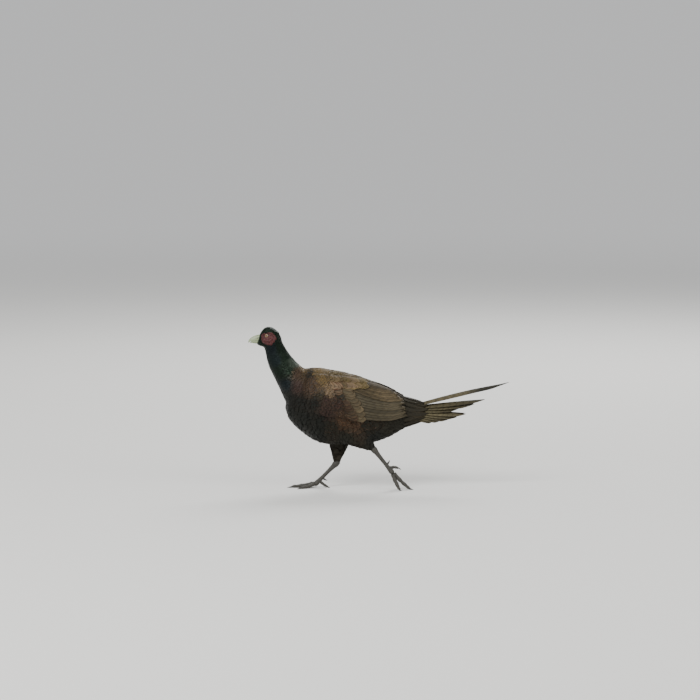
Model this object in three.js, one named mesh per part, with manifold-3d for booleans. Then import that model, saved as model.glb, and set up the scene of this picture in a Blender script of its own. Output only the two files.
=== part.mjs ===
// A common pheasant cock, life size, walking: a still model in separate sub-parts.
// Millimetres, +Z up. The bird faces -X and its left side faces -Y. It stands on z = 0.
import * as THREE from "three";
import { mergeVertices } from "three/addons/utils/BufferGeometryUtils.js";
import Module from "manifold-3d";

const wasm = await Module();
wasm.setup();

// Driving dimensions
const JOIN_GAP = 0.3; // free space between two sub-parts that touch
const LEFT = -1;
const RIGHT = 1;

// The body in side view: x, top, bottom and half width of its sections, chest first
const BODY = [
  [-133.5, 183, 181, 2],
  [-130, 200, 164, 15],
  [-121, 222, 149, 27],
  [-97, 262, 126, 42],
  [-70, 271, 107, 50],
  [-42, 268, 98, 53],
  [12, 258, 98, 53],
  [50, 245, 100, 49],
  [84, 232, 108, 42],
  [109, 219, 120, 34],
  [130, 208, 133, 27],
  [152, 198, 142, 20.5],
  [170, 192, 149, 15],
  [179, 187, 156, 9],
  [182, 180, 166, 3],
];

// The neck: x and z of its middle, half depth fore and aft, half width, head end first
const NECK = [
  [-163, 332, 20, 13],
  [-156.5, 314, 22.5, 14.8],
  [-146.5, 288, 27, 19],
  [-130, 263, 31, 26],
  [-112, 240, 38, 35],
  [-90, 212, 46, 42],
];
const NECK_TILT = 33; // degrees that a section of the neck rises towards the nape

// The head in side view: x, top, bottom and half width of its sections, chin first
const HEAD = [
  [-195.5, 325, 321, 1.5],
  [-192.5, 332.5, 318.5, 6],
  [-187, 345, 316.5, 10],
  [-181, 354.5, 315, 13],
  [-171, 360.3, 313, 15.8],
  [-160, 359.3, 311, 17],
  [-150, 352, 310, 16.5],
  [-143, 343, 314, 13],
  [-139, 333, 322, 5],
];
const TUFTS = { x: -162, y: 5.5, z: 355.5, length: 20, width: 6, count: 2 };

// Thin cuts that part the body: a point on each in x and z, and how far its top leans back
const NECK_BASE_CUT = { x: -115, z: 241, lean: 28 };
const HEAD_CUT = { x: -160, z: 316, lean: 62 };
const TAIL_CUT = { x: 130, z: 172, lean: 0 };
const CUT_REACH = 130; // half the width of a cut, more than any section that it parts

// Eyes, with the red face skin in soft folds round them and the rim of the lids
const EYE = { x: -171.5, y: 12.6, z: 341, radius: 5.2 };
const LID = { radius: 5.3, thick: 0.95, out: 4.1 };
const FACE = { x: -167.5, z: 335.5, long: 16.5, tall: 14, thick: 1.9, folds: 5, fold: 0.6 };

// Bill: x, level of the mouth line, height above or depth below it, and half width, root first
const UPPER_BILL = [
  [-182, 331, 11.4, 6.8],
  [-190, 330.6, 10.8, 6.1],
  [-197, 330, 9.8, 5.2],
  [-203, 329.2, 8, 4.2],
  [-208, 327.8, 6, 2.9],
  [-211.5, 325.6, 4.2, 1.6],
  [-213, 323.8, 2.6, 0.5],
];
const LOWER_BILL = [
  [-182, 329.4, 7, 6],
  [-190, 329, 6.6, 5.3],
  [-198, 328.4, 5.6, 4.2],
  [-204, 327.4, 3.8, 3],
  [-208.5, 325.4, 1.6, 1.4],
];
const NOSTRIL = { x: -192.5, y: 4.4, z: 335.4, long: 3.6, tall: 1.7, wide: 1.8 };

// The folded wing lies on a hull a little wider than the body: x, top, bottom, half width
const WING_HULL = [
  [-110, 247, 139, 38],
  [-97, 264, 127, 44],
  [-70, 273, 108, 52],
  [-42, 270, 99, 55],
  [12, 260, 99, 55],
  [50, 247, 101, 51],
  [84, 234, 108, 45.5],
  [109, 222, 119, 40],
  [130, 211, 130, 36],
  [155, 197, 145, 31],
];

// The base of the wing: x, upper and lower edge as girth up from the widest line, thickness
const WING_BASE = [
  [-94, 30, 4, 1],
  [-84, 52, -10, 4.2],
  [-64, 70, -17, 6],
  [-20, 74, -18, 5.9],
  [12, 70, -18, 4.8],
  [42, 50, -17, 2.2],
  [62, 34, -13, 0.8],
];

// Rows of wing feathers from the inside out. roots: the first and last root in x and girth.
// heading: degrees up from level. lift: height of the root above the hull. pitch and roll: how much
// a feather rises towards its tip and falls away towards its upper edge, per millimetre.
const PRIMARIES = {
  count: 4,
  roots: [[36, -11], [46, 3]],
  length: [92, 80],
  width: 10.5,
  heading: [0, -1],
  lift: -0.4,
  pitch: 0,
  roll: 0.25,
  steps: 3,
};
const SECONDARIES = {
  count: 8,
  roots: [[4, -8], [-4, 45]],
  length: [101, 108],
  width: 14.2,
  heading: [-1, -6],
  lift: 2.8,
  pitch: 0,
  roll: 0.18,
  steps: 3,
};
const TERTIALS = {
  count: 3,
  roots: [[-8, 51], [-16, 66]],
  length: [114, 100],
  width: 23,
  heading: [-9.5, -9.8],
  lift: 4,
  pitch: 0,
  roll: 0.19,
  steps: 3,
};
const GREATER_COVERTS = {
  count: 7,
  roots: [[-28, -10], [-40, 46]],
  length: [44, 46],
  width: 17,
  heading: [-2, -7],
  lift: 4.1,
  pitch: 0.06,
  roll: 0.14,
  steps: 2,
};
const MEDIAN_COVERTS = {
  count: 6,
  roots: [[-52, -8], [-62, 44]],
  length: [31, 33],
  width: 17.5,
  heading: [-2, -8],
  lift: 4.6,
  pitch: 0.09,
  roll: 0.13,
  steps: 2,
};
const SCAPULARS = {
  count: 6,
  roots: [[-66, 57], [2, 63]],
  length: [44, 46],
  width: 24,
  heading: [-12, -12],
  lift: 4,
  pitch: 0.125,
  roll: 0.1,
  steps: 2,
};
const WING_ROWS = [PRIMARIES, SECONDARIES, TERTIALS, GREATER_COVERTS, MEDIAN_COVERTS, SCAPULARS];

// Tail feathers of one side from the middle pair out: length, rise in degrees at root and at tip
const TAIL_FEATHERS = [
  [220, 17, 10],
  [162, 7, 4],
  [148, 3, 1],
  [135, 0, -2],
  [122, -3, -4],
  [107, -6, -7],
  [91, -9, -10],
  [74, -12, -13],
  [58, -15, -14],
];
const TAIL_ROOT = { x: 148, y: 0.5, z: 186, step: [-0.8, 0.25, -2.3] };
const TAIL_FOLD = { roll: [24, 56], splay: [0.2, 7.4], width: [17, 14], taper: [0.72, 0.3] };

// Coverts round the root of the tail: angle round it from level, x of the root, length, width
const TAIL_COVERTS = [
  [74, 137, 62, 19],
  [40, 137, 54, 19],
  [4, 136, 46, 19],
  [-34, 136, 44, 19],
  [-70, 137, 52, 19],
  [57, 150, 58, 16],
];

// Legs: the right foot is planted forward and the left one is at the end of its push
const LEGS = [
  {
    name: "right",
    side: RIGHT,
    hip: [-10, 27, 130],
    thigh: { deep: 33, taper: 0.95 },
    hock: [-19, 19, 54],
    ball: [-64, 16, 9],
  },
  {
    name: "left",
    side: LEFT,
    hip: [17, -27, 129],
    thigh: { deep: 30, taper: 1.1 },
    hock: [63, -20, 91],
    ball: [103, -18, 40],
  },
];
const THIGH_WIDE = 20;
const HOCK = { deep: 7.2, wide: 6, feathers: 1.2 };

// The bare shank: share of its length, half depth, half width
const SHANK = [
  [-0.1, 5.6, 4.6],
  [0.04, HOCK.deep, HOCK.wide],
  [0.16, 5.4, 4.4],
  [0.4, 4.3, 3.6],
  [0.7, 4.2, 3.7],
  [0.88, 5, 5],
  [1, 5.6, 6.4],
  [1.08, 3.6, 4.6],
];
const SHANK_PLATES = 12;
const PLATE_RISE = 0.13; // of the radius under it
const SPUR = { share: 0.7, length: 9.5, radius: 2.6 };

// Toes: 1 is the hind toe, 2 the inner, 3 the middle and 4 the outer, each from the ball to its claw
const TOE_ORDER = [3, 2, 4, 1];
const TOE_RADIUS = { 1: 3, 2: 3.6, 3: 4, 4: 3.6 };
const TOE_PATHS = {
  right: {
    1: [[-57, 16, 15], [-48, 14.5, 8], [-39, 13.5, 2.5]],
    2: [[-69, 11, 8.5], [-83, 3, 3.7], [-97, -5, 2.7]],
    3: [[-72, 16, 9], [-93, 15, 4], [-116, 14, 2.9]],
    4: [[-69, 21, 8.5], [-85, 29, 3.7], [-100, 37, 2.7]],
  },
  left: {
    1: [[100, -15, 49], [109, -14, 50], [117, -13, 48]],
    2: [[105, -13, 34], [112, -8, 17], [119, -5, 2.6]],
    3: [[108, -18, 36], [125, -18, 18], [142, -18, 2.9]],
    4: [[105, -23, 34], [112, -28, 17], [120, -32, 2.6]],
  },
};
const CLAW = { length: { 1: 7, 2: 10, 3: 12, 4: 10 }, share: 0.62, tip: 0.5 };

const COLOURS = {
  head: 0x10241c,
  body: 0x5a3a22,
  wing: 0x6e5c44,
  tail: 0x8a7448,
  thigh: 0x15120f,
  face: 0x8e1717,
  bill: 0xc9cdb0,
  eye: 0x7a4a12,
  scales: 0x7c7a6c,
  claw: 0x3f3b33,
};

const mix = THREE.MathUtils.lerp;
const radians = THREE.MathUtils.degToRad;

// A smooth curve through one column of a table whose first column is x
function along(table, x, column) {
  const last = table.length - 1;
  let row = 0;
  while (row < last - 1 && x > table[row + 1][0]) row += 1;
  const slope = (k) => {
    const before = table[Math.max(k - 1, 0)];
    const after = table[Math.min(k + 1, last)];
    return (after[column] - before[column]) / (after[0] - before[0]);
  };
  const span = table[row + 1][0] - table[row][0];
  const t = THREE.MathUtils.clamp((x - table[row][0]) / span, 0, 1);
  const rise = table[row + 1][column] - table[row][column];
  const start = slope(row) * span;
  const end = slope(row + 1) * span;
  const bend = start + end - 2 * rise;
  return table[row][column] + start * t + (3 * rise - 2 * start - end) * t * t + bend * t * t * t;
}

// Seeded draw in -1 to 1, so that like feathers differ a little and each run gives the same ones
function drawFrom(seed) {
  let state = seed;
  return () => {
    state = (state * 1664525 + 1013904223) % 4294967296;
    return state / 2147483648 - 1;
  };
}

// A manifold from points and triangles, turned so that its faces point out
function solidFrom(points, triangles) {
  const volume = triangles.reduce((sum, [a, b, c]) => {
    const normal = points[b].clone().sub(points[a]).cross(points[c].clone().sub(points[a]));
    return sum + normal.dot(points[a]);
  }, 0);
  const faces = volume > 0 ? triangles : triangles.map(([a, b, c]) => [a, c, b]);
  return new wasm.Manifold(
    new wasm.Mesh({
      numProp: 3,
      vertProperties: new Float32Array(points.flatMap((p) => [p.x, p.y, p.z])),
      triVerts: new Uint32Array(faces.flat()),
    }),
  );
}

// A manifold from one of three.js's own closed shapes
function solidOf(geometry) {
  const bare = geometry.clone();
  bare.deleteAttribute("normal");
  bare.deleteAttribute("uv");
  const merged = mergeVertices(bare, 1e-3);
  const place = merged.attributes.position;
  const points = [];
  for (let i = 0; i < place.count; i += 1) {
    points.push(new THREE.Vector3().fromBufferAttribute(place, i));
  }
  const triangles = [];
  for (let i = 0; i < merged.index.count; i += 3) {
    const face = [merged.index.getX(i), merged.index.getX(i + 1), merged.index.getX(i + 2)];
    if (new Set(face).size === 3) triangles.push(face);
  }
  return solidFrom(points, triangles);
}

// A closed body through rings of equal count, each end closed by a fan to its middle
function loft(rings) {
  const count = rings[0].length;
  const points = rings.flat();
  const triangles = [];
  for (let i = 0; i < rings.length - 1; i += 1) {
    for (let j = 0; j < count; j += 1) {
      const a = i * count + j;
      const b = i * count + ((j + 1) % count);
      triangles.push([a, b, b + count], [a, b + count, a + count]);
    }
  }
  [0, rings.length - 1].forEach((end) => {
    const middle = new THREE.Vector3();
    rings[end].forEach((p) => middle.addScaledVector(p, 1 / count));
    points.push(middle);
    for (let j = 0; j < count; j += 1) {
      const a = end * count + j;
      const b = end * count + ((j + 1) % count);
      triangles.push(end ? [a, b, points.length - 1] : [b, a, points.length - 1]);
    }
  });
  return solidFrom(points, triangles);
}

// Points of an oval ring with its two half axes given as vectors, swollen below by a share of them
function oval(middle, across, up, count, swell = 0) {
  return Array.from({ length: count }, (_, k) => {
    const turn = (2 * Math.PI * k) / count;
    const size = 1 + swell * Math.sqrt(Math.max(0, -Math.sin(turn)));
    return middle
      .clone()
      .addScaledVector(across, size * Math.cos(turn))
      .addScaledVector(up, size * Math.sin(turn));
  });
}

// Upright sections of a table of x, top, bottom and half width, closer together at both ends
function uprightLoft(table, steps, sides, grow = 0) {
  const from = table[0][0] - grow;
  const to = table[table.length - 1][0] + grow;
  const rings = Array.from({ length: steps + 1 }, (_, k) => {
    const even = k / steps;
    const eased = (1 - Math.cos(Math.PI * even)) / 2;
    const x = mix(from, to, mix(even, eased, 0.55));
    const top = along(table, x, 1) + grow;
    const bottom = along(table, x, 2) - grow;
    const middle = new THREE.Vector3(x, 0, (top + bottom) / 2);
    const across = new THREE.Vector3(0, along(table, x, 3) + grow, 0);
    return oval(middle, across, new THREE.Vector3(0, 0, (top - bottom) / 2), sides);
  });
  return loft(rings);
}

// A round limb through stations of a point and two half widths, each ring square to the path
function limb(stations, sides, grow = 0) {
  const last = stations.length - 1;
  const middles = stations.map((s) => new THREE.Vector3(...s.at));
  const rings = stations.map((s, k) => {
    const forward = middles[Math.min(k + 1, last)].clone().sub(middles[Math.max(k - 1, 0)]).normalize();
    const across = new THREE.Vector3(0, 1, 0);
    across.addScaledVector(forward, -across.dot(forward)).normalize();
    const up = forward.clone().cross(across);
    const stretch = { 0: -grow, [last]: grow }[k] ?? 0;
    const middle = middles[k].clone().addScaledVector(forward, stretch);
    across.multiplyScalar(s.wide + grow);
    up.multiplyScalar(s.deep + grow);
    return oval(middle, across, up, sides, s.plate);
  });
  return loft(rings);
}

// A point part of the way from one to another, both given as arrays
function pointBetween(from, to, t) {
  return from.map((value, k) => mix(value, to[k], t));
}

// The largest closed surface of a solid, and of pieces that are joined
function largest(solid) {
  return solid.decompose().reduce((best, piece) => (piece.volume() > best.volume() ? piece : best));
}

function joined(pieces) {
  return largest(pieces.reduce((sum, piece) => sum.add(piece)));
}

// Head, neck, torso and tail root are one form
function wholeForm(grow) {
  const rise = radians(NECK_TILT);
  const neckRings = Array.from({ length: 10 }, (_, k) => {
    const place = (k / 9) * (NECK.length - 1);
    const [x, z, deep, wide] = [0, 1, 2, 3].map((column) => along(
      NECK.map((row, i) => [i, row[column]]),
      place,
      1,
    ));
    const across = new THREE.Vector3(0, wide + grow, 0);
    const fore = new THREE.Vector3(Math.cos(rise), 0, Math.sin(rise)).multiplyScalar(deep + grow);
    return oval(new THREE.Vector3(x, 0, z), across, fore, 20);
  });
  return uprightLoft(BODY, 20, 24, grow).add(loft(neckRings)).add(uprightLoft(HEAD, 11, 20, grow));
}

function thinCut({ x, z, lean }) {
  const slab = new THREE.BoxGeometry(JOIN_GAP, 2 * CUT_REACH, 2 * CUT_REACH);
  slab.rotateY(radians(lean));
  slab.translate(x, 0, z);
  return solidOf(slab);
}

const clearOfWhole = wholeForm(JOIN_GAP);
const parted = [NECK_BASE_CUT, HEAD_CUT, TAIL_CUT]
  .map(thinCut)
  .reduce((whole, cut) => whole.subtract(cut), wholeForm(0))
  .decompose();

// The parted piece whose box holds a point given in x and z
function pieceAt(x, z) {
  return parted.find((piece) => {
    const box = piece.boundingBox();
    return box.min[0] < x && x < box.max[0] && box.min[2] < z && z < box.max[2];
  });
}

const headRoot = pieceAt(EYE.x, EYE.z);
const torso = pieceAt(0, TAIL_CUT.z);
const tailRoot = pieceAt(TAIL_CUT.x + 30, TAIL_CUT.z);
const neck = parted.find((piece) => ![headRoot, torso, tailRoot].includes(piece));

// A point on a hull of upright ovals: x, girth up from the widest line, and lift off the hull
function onHull(hull, side, x, girth, lift) {
  const top = along(hull, x, 1);
  const bottom = along(hull, x, 2);
  const tall = (top - bottom) / 2;
  const wide = along(hull, x, 3);
  const turn = (2 * girth) / (tall + wide);
  const out = new THREE.Vector2(tall * Math.cos(turn), wide * Math.sin(turn)).normalize();
  const y = wide * Math.cos(turn) + out.x * lift;
  return new THREE.Vector3(x, side * y, (top + bottom) / 2 + tall * Math.sin(turn) + out.y * lift);
}

// A closed sheet over a grid: face(u, v, 0) gives its inner face and face(u, v, 1) its outer one,
// and both are split into triangles alike
function sheet(uSteps, vSteps, face) {
  const points = [];
  const number = (i, j, k) => (i * (vSteps + 1) + j) * 2 + k;
  for (let i = 0; i <= uSteps; i += 1) {
    for (let j = 0; j <= vSteps; j += 1) {
      points.push(face(i / uSteps, j / vSteps, 0), face(i / uSteps, j / vSteps, 1));
    }
  }
  const triangles = [];
  const quad = (a, b, c, d) => triangles.push([a, b, c], [a, c, d]);
  for (let i = 0; i < uSteps; i += 1) {
    for (let j = 0; j < vSteps; j += 1) {
      const corners = [[i, j], [i + 1, j], [i + 1, j + 1], [i, j + 1]];
      const [a, b, c, d] = corners.map((at) => number(...at, 1));
      const [e, f, g, h] = corners.map((at) => number(...at, 0));
      triangles.push([a, b, c], [a, c, d], [e, g, f], [e, h, g]);
    }
  }
  const edge = (from, to) => quad(number(...from, 0), number(...to, 0), number(...to, 1), number(...from, 1));
  for (let i = 0; i < uSteps; i += 1) {
    edge([i, 0], [i + 1, 0]);
    edge([i + 1, vSteps], [i, vSteps]);
  }
  for (let j = 0; j < vSteps; j += 1) {
    edge([0, j + 1], [0, j]);
    edge([uSteps, j], [uSteps, j + 1]);
  }
  return solidFrom(points, triangles);
}

// One feather: a thin vane with a raised shaft, from a narrow root to a round or tapered tip
function vane({ length, width, steps, thick = 0.65, taper = 0, ridge = 0.2 }, place) {
  return sheet(steps, 2, (u, v, outer) => {
    const t = 1 - (1 - u) ** 1.4;
    const root = Math.min(1, 0.5 + 2 * t);
    const tip = Math.sqrt(Math.max(0.012, 1 - Math.max(0, (t - 0.72) / 0.28) ** 2));
    const half = (width / 2) * root * tip * (1 - taper * t);
    const rise = v === 0.5 ? ridge : 0;
    return place(t * length, (2 * v - 1) * half, rise + (outer ? thick : 0), t, half);
  });
}

// A feather on a free path: it rises from one angle to another, and is splayed and rolled
function freeVane({ at, side, rise, splay, roll, ...shape }) {
  const yaw = radians(splay);
  const tilt = radians(roll);
  const sideways = new THREE.Vector3(0, Math.cos(tilt), -Math.sin(tilt));
  return vane(shape, (out, across, lift, t, half) => {
    const slope = radians(mix(rise[0], mix(...rise, t), 0.5));
    const level = Math.cos(yaw);
    const forward = new THREE.Vector3(Math.cos(slope) * level, Math.sin(yaw), Math.sin(slope) * level);
    const normal = new THREE.Vector3(-Math.sin(slope), Math.sin(tilt), Math.cos(tilt)).normalize();
    const point = new THREE.Vector3(...at).addScaledVector(forward, out);
    point.addScaledVector(sideways, across + half).addScaledVector(normal, lift);
    point.y *= side;
    return point;
  });
}

function wingFeathers(side) {
  const draw = drawFrom(9);
  return WING_ROWS.flatMap((row) =>
    Array.from({ length: row.count }, (_, k) => {
      const share = k / (row.count - 1);
      const heading = radians(mix(...row.heading, share) + 0.25 * draw());
      const length = mix(...row.length, share) * (1 + 0.02 * draw());
      const [x0, girth0] = pointBetween(...row.roots, share);
      return vane({ length, width: row.width, steps: row.steps }, (out, across, rise) => {
        const x = x0 + out * Math.cos(heading) - across * Math.sin(heading);
        const girth = girth0 + out * Math.sin(heading) + across * Math.cos(heading);
        const lift = row.lift + row.pitch * out - row.roll * across + rise;
        return onHull(WING_HULL, side, x, girth, lift);
      });
    }),
  );
}

function wing(side) {
  const from = WING_BASE[0][0];
  const to = WING_BASE[WING_BASE.length - 1][0];
  const base = sheet(6, 4, (u, v, outer) => {
    const x = mix(from, to, u);
    const girth = mix(along(WING_BASE, x, 2), along(WING_BASE, x, 1), v);
    const rim = Math.sin(Math.PI * mix(0.04, 0.96, v)) ** 0.2;
    return onHull(WING_HULL, side, x, girth, outer ? along(WING_BASE, x, 3) * rim : -5);
  });
  return largest(joined([base, ...wingFeathers(side)]).subtract(clearOfWhole));
}

// The fan is folded like a roof: inner edges meet on the ridge, each pair lies under the one before
function tailFeathers(side) {
  const last = TAIL_FEATHERS.length - 1;
  return TAIL_FEATHERS.map(([length, ...rise], k) => {
    const [roll, splay, width, taper] = ["roll", "splay", "width", "taper"].map((name) =>
      mix(...TAIL_FOLD[name], k / last),
    );
    const at = [TAIL_ROOT.x, TAIL_ROOT.y, TAIL_ROOT.z].map((value, axis) => value + k * TAIL_ROOT.step[axis]);
    return freeVane({ at, side, rise, splay, roll, length, width, taper, steps: 3, thick: 0.75 });
  });
}

// Coverts leave the root along its surface and then bend into line with the tail
function tailCoverts(side) {
  return TAIL_COVERTS.map(([angle, x0, length, width]) => {
    const turn = radians(angle);
    const outward = new THREE.Vector3(0, Math.cos(turn), Math.sin(turn));
    const sideways = new THREE.Vector3(0, -Math.sin(turn), Math.cos(turn));
    const onRoot = (x, lift) => {
      const middle = (along(BODY, x, 1) + along(BODY, x, 2)) / 2;
      const tall = (along(BODY, x, 1) - along(BODY, x, 2)) / 2 + lift;
      return new THREE.Vector3(x, (along(BODY, x, 3) + lift) * outward.y, middle + tall * outward.z);
    };
    const bend = onRoot(x0 + 0.42 * length, 2.6);
    const rise = 0.09 - 0.12 * outward.z;
    const end = new THREE.Vector3(0.6, 0.04 * outward.y, rise).multiplyScalar(length).add(bend);
    const path = new THREE.QuadraticBezierCurve3(onRoot(x0, -2.5), bend, end);
    return vane({ length: 1, width, steps: 2 }, (out, across, lift) => {
      const point = path.getPoint(out).addScaledVector(sideways, across);
      point.addScaledVector(outward, lift - 0.012 * across * across);
      point.y *= side;
      return point;
    });
  });
}

function tail() {
  const feathers = [LEFT, RIGHT].flatMap((side) => [...tailFeathers(side), ...tailCoverts(side)]);
  const ahead = new THREE.BoxGeometry(2 * CUT_REACH, 2 * CUT_REACH, 2 * CUT_REACH);
  ahead.translate(TAIL_CUT.x + JOIN_GAP / 2 - CUT_REACH, 0, TAIL_CUT.z);
  return largest(joined([tailRoot, ...feathers]).subtract(solidOf(ahead)));
}

// The feathered thigh: a drumstick that tapers to the hock
function thigh(leg, grow) {
  const stations = [-0.3, -0.1, 0.15, 0.4, 0.65, 0.85, 1].map((t) => {
    const full = Math.sin(Math.PI * Math.min(1, (t + 0.45) / 1.1)) ** 0.6;
    const taper = t < 0.15 ? full : 1 - ((t - 0.15) / 0.85) ** leg.thigh.taper;
    return {
      at: pointBetween(leg.hip, leg.hock, t),
      deep: mix(HOCK.deep + HOCK.feathers, leg.thigh.deep, taper),
      wide: mix(HOCK.wide + HOCK.feathers, THIGH_WIDE, taper),
    };
  });
  return limb(stations, 16, grow);
}

// The bare shank, with broad plates that overlap down its front
function tarsus(leg, grow) {
  const edges = Array.from({ length: SHANK_PLATES }, (_, k) => [
    [mix(0.02, 0.99, k / SHANK_PLATES), 0],
    [mix(0.02, 0.99, (k + 0.94) / SHANK_PLATES), PLATE_RISE],
  ]);
  const ends = [SHANK[0][0], SHANK[SHANK.length - 1][0]];
  const stations = [[ends[0], 0], ...edges.flat(), [1, 0], [ends[1], 0]].map(([t, plate]) => ({
    at: pointBetween(leg.hock, leg.ball, t),
    deep: along(SHANK, t, 1),
    wide: along(SHANK, t, 2),
    plate,
  }));
  return limb(stations, 10, grow);
}

// The spur, on the back of the shank and turned a little inward
function spur(leg) {
  const down = new THREE.Vector3(...leg.ball).sub(new THREE.Vector3(...leg.hock)).normalize();
  const back = new THREE.Vector3(-down.z, 0, down.x);
  const root = new THREE.Vector3(...pointBetween(leg.hock, leg.ball, SPUR.share));
  const stations = [0.35, 0.8, 1.3].map((t) => {
    const at = root.clone().addScaledVector(back, SPUR.length * t).addScaledVector(down, -2 * t * t);
    at.y -= leg.side * 2 * t;
    const thick = mix(SPUR.radius, CLAW.tip, (t - 0.35) / 0.95);
    return { at: at.toArray(), deep: thick, wide: thick };
  });
  return limb(stations, 7);
}

// One toe: three pads along its path and a row of plates on its upper side
function toe(path, radius, grow) {
  const curve = new THREE.CatmullRomCurve3(path.map((p) => new THREE.Vector3(...p)));
  const steps = 9;
  const stations = Array.from({ length: steps + 1 }, (_, k) => {
    const t = k / steps;
    const pad = 1 + 0.08 * Math.cos(6 * Math.PI * t);
    const thick = radius * mix(1.1, 0.82, t) * pad * (k === steps ? 0.6 : 1);
    return { at: curve.getPoint(t).toArray(), deep: thick, wide: thick, plate: (k % 2) * PLATE_RISE };
  });
  return limb(stations, 7, grow);
}

// A claw: a bent cone that goes down to the floor, or hooks down where its toe is in the air
function claw(path, length, radius) {
  const end = new THREE.Vector3(...path[2]);
  const forward = end.clone().sub(new THREE.Vector3(...path[1])).normalize();
  const planted = end.z < 10;
  const stations = [-0.12, 0.3, 0.68, 1].map((t) => {
    const out = Math.max(0, t);
    const at = end.clone().addScaledVector(forward, length * t);
    at.z = planted ? mix(end.z, 0.6 * CLAW.tip, out ** 0.7) : at.z - 3 * t * t;
    const thick = mix(radius, CLAW.tip, out ** 0.8);
    return { at: at.toArray(), deep: thick, wide: 0.85 * thick };
  });
  return limb(stations, 6);
}

// Half a bill: flat on the mouth line, arched up with arch 1 and down with arch -1
function bill(rows, arch, grow = 0) {
  return loft(
    rows.map(([x, z, tall, wide]) => {
      const across = new THREE.Vector3(0, wide + grow, 0);
      const ring = oval(new THREE.Vector3(x, 0, 0), across, new THREE.Vector3(0, 0, arch), 12);
      ring.forEach((point) => {
        const share = point.z * arch < 0 ? 0.16 : 1;
        point.z = z + point.z * share * (tall + grow) - arch * grow;
      });
      return ring;
    }),
  );
}

// The upper bill has a nostril on each side: a slit under a swollen lid of horn
function upperBill() {
  const { x, y, z, long, tall, wide } = NOSTRIL;
  const whole = [LEFT, RIGHT].reduce((shell, side) => {
    const lid = new THREE.SphereGeometry(1, 7, 5).scale(long, wide, tall).translate(x, side * y, z);
    const slit = new THREE.BoxGeometry(1.3 * long, 2.4, 0.7);
    slit.translate(x, side * (y + wide), z - 1.3);
    return shell.add(solidOf(lid)).subtract(solidOf(slit));
  }, bill(UPPER_BILL, 1));
  return largest(whole.subtract(clearOfWhole));
}

function lowerBill() {
  return largest(bill(LOWER_BILL, -1).subtract(clearOfWhole).subtract(bill(UPPER_BILL, 1, JOIN_GAP)));
}

function eyeball(side, grow) {
  const sphere = new THREE.SphereGeometry(EYE.radius + grow, 12, 8).rotateX(Math.PI / 2);
  return solidOf(sphere.translate(EYE.x, side * EYE.y, EYE.z));
}

// The face skin follows the side of the head, thick and folded at its rim, open over the eye
function faceSkin(side) {
  const ringAt = (share, lift, fold) =>
    Array.from({ length: 20 }, (_, k) => {
      const turn = (2 * Math.PI * k) / 20;
      const lobe = Math.cos(FACE.folds * turn + 2 * share);
      const below = Math.max(0, -Math.sin(turn));
      const above = Math.max(0, Math.sin(turn));
      const reach = share * (1 + 0.06 * lobe);
      const x = FACE.x + FACE.long * reach * Math.cos(turn);
      const z = FACE.z + FACE.tall * reach * (1 + 0.16 * below - 0.1 * above) * Math.sin(turn);
      const middle = (along(HEAD, x, 1) + along(HEAD, x, 2)) / 2;
      const tall = (along(HEAD, x, 1) - along(HEAD, x, 2)) / 2;
      const level = Math.min(0.95, Math.abs((z - middle) / tall));
      const cheek = along(HEAD, x, 3) * Math.sqrt(1 - level * level);
      return new THREE.Vector3(x, side * (cheek + lift + 0.9 * below * share + fold * lobe), z);
    });
  const skin = loft([
    ringAt(0.3, -2.5, 0),
    ringAt(0.96, -1.5, 0),
    ringAt(1, 0.6, 0),
    ringAt(0.86, FACE.thick, FACE.fold),
    ringAt(0.62, FACE.thick * 0.8, -FACE.fold),
    ringAt(0.4, FACE.thick, 0),
  ]);
  const rim = new THREE.TorusGeometry(LID.radius, LID.thick, 5, 12).rotateX(Math.PI / 2);
  rim.translate(EYE.x, side * (EYE.y + LID.out), EYE.z);
  const opening = new THREE.CylinderGeometry(LID.radius - 0.5, LID.radius - 0.5, 4 * LID.radius, 12);
  opening.translate(EYE.x, side * (EYE.y + 2 * LID.radius), EYE.z);
  const face = skin.subtract(solidOf(opening)).add(solidOf(rim));
  return largest(face.subtract(clearOfWhole).subtract(eyeball(side, JOIN_GAP)));
}

// The head with its sockets and the short tufts that lie back from the sides of the crown
function head() {
  const tufts = [LEFT, RIGHT].flatMap((side) =>
    Array.from({ length: TUFTS.count }, (_, k) => {
      const at = [TUFTS.x + 2.5 * k, TUFTS.y + 2.4 * k, TUFTS.z - 1.7 * k];
      const lie = { rise: [-6, -52], splay: 8 - 2 * k, roll: 30 + 14 * k };
      return freeVane({ at, side, ...lie, length: TUFTS.length, width: TUFTS.width, steps: 2 });
    }),
  );
  const sockets = eyeball(LEFT, JOIN_GAP).add(eyeball(RIGHT, JOIN_GAP));
  return largest(joined([headRoot, ...tufts]).subtract(sockets));
}

// The finished tree of sub-parts
const model = new THREE.Group();

function addPart(name, solid, color, roughness) {
  const mesh = solid.getMesh();
  const geometry = new THREE.BufferGeometry();
  geometry.setAttribute("position", new THREE.BufferAttribute(new Float32Array(mesh.vertProperties), 3));
  geometry.setIndex(new THREE.BufferAttribute(new Uint32Array(mesh.triVerts), 1));
  geometry.computeVertexNormals();
  const part = new THREE.Mesh(geometry, new THREE.MeshStandardMaterial({ color, roughness, metalness: 0 }));
  part.name = name;
  model.add(part);
}

addPart("head", head(), COLOURS.head, 0.6);
addPart("neck", neck, COLOURS.head, 0.6);
addPart("torso", torso, COLOURS.body, 0.75);
addPart("tail", tail(), COLOURS.tail, 0.7);
addPart("bill_upper", upperBill(), COLOURS.bill, 0.45);
addPart("bill_lower", lowerBill(), COLOURS.bill, 0.45);

[LEFT, RIGHT].forEach((side) => {
  const word = side === LEFT ? "left" : "right";
  addPart(`eye_${word}`, eyeball(side, 0), COLOURS.eye, 0.1);
  addPart(`wattle_${word}`, faceSkin(side), COLOURS.face, 0.6);
  addPart(`wing_${word}`, wing(side), COLOURS.wing, 0.75);
});

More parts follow.
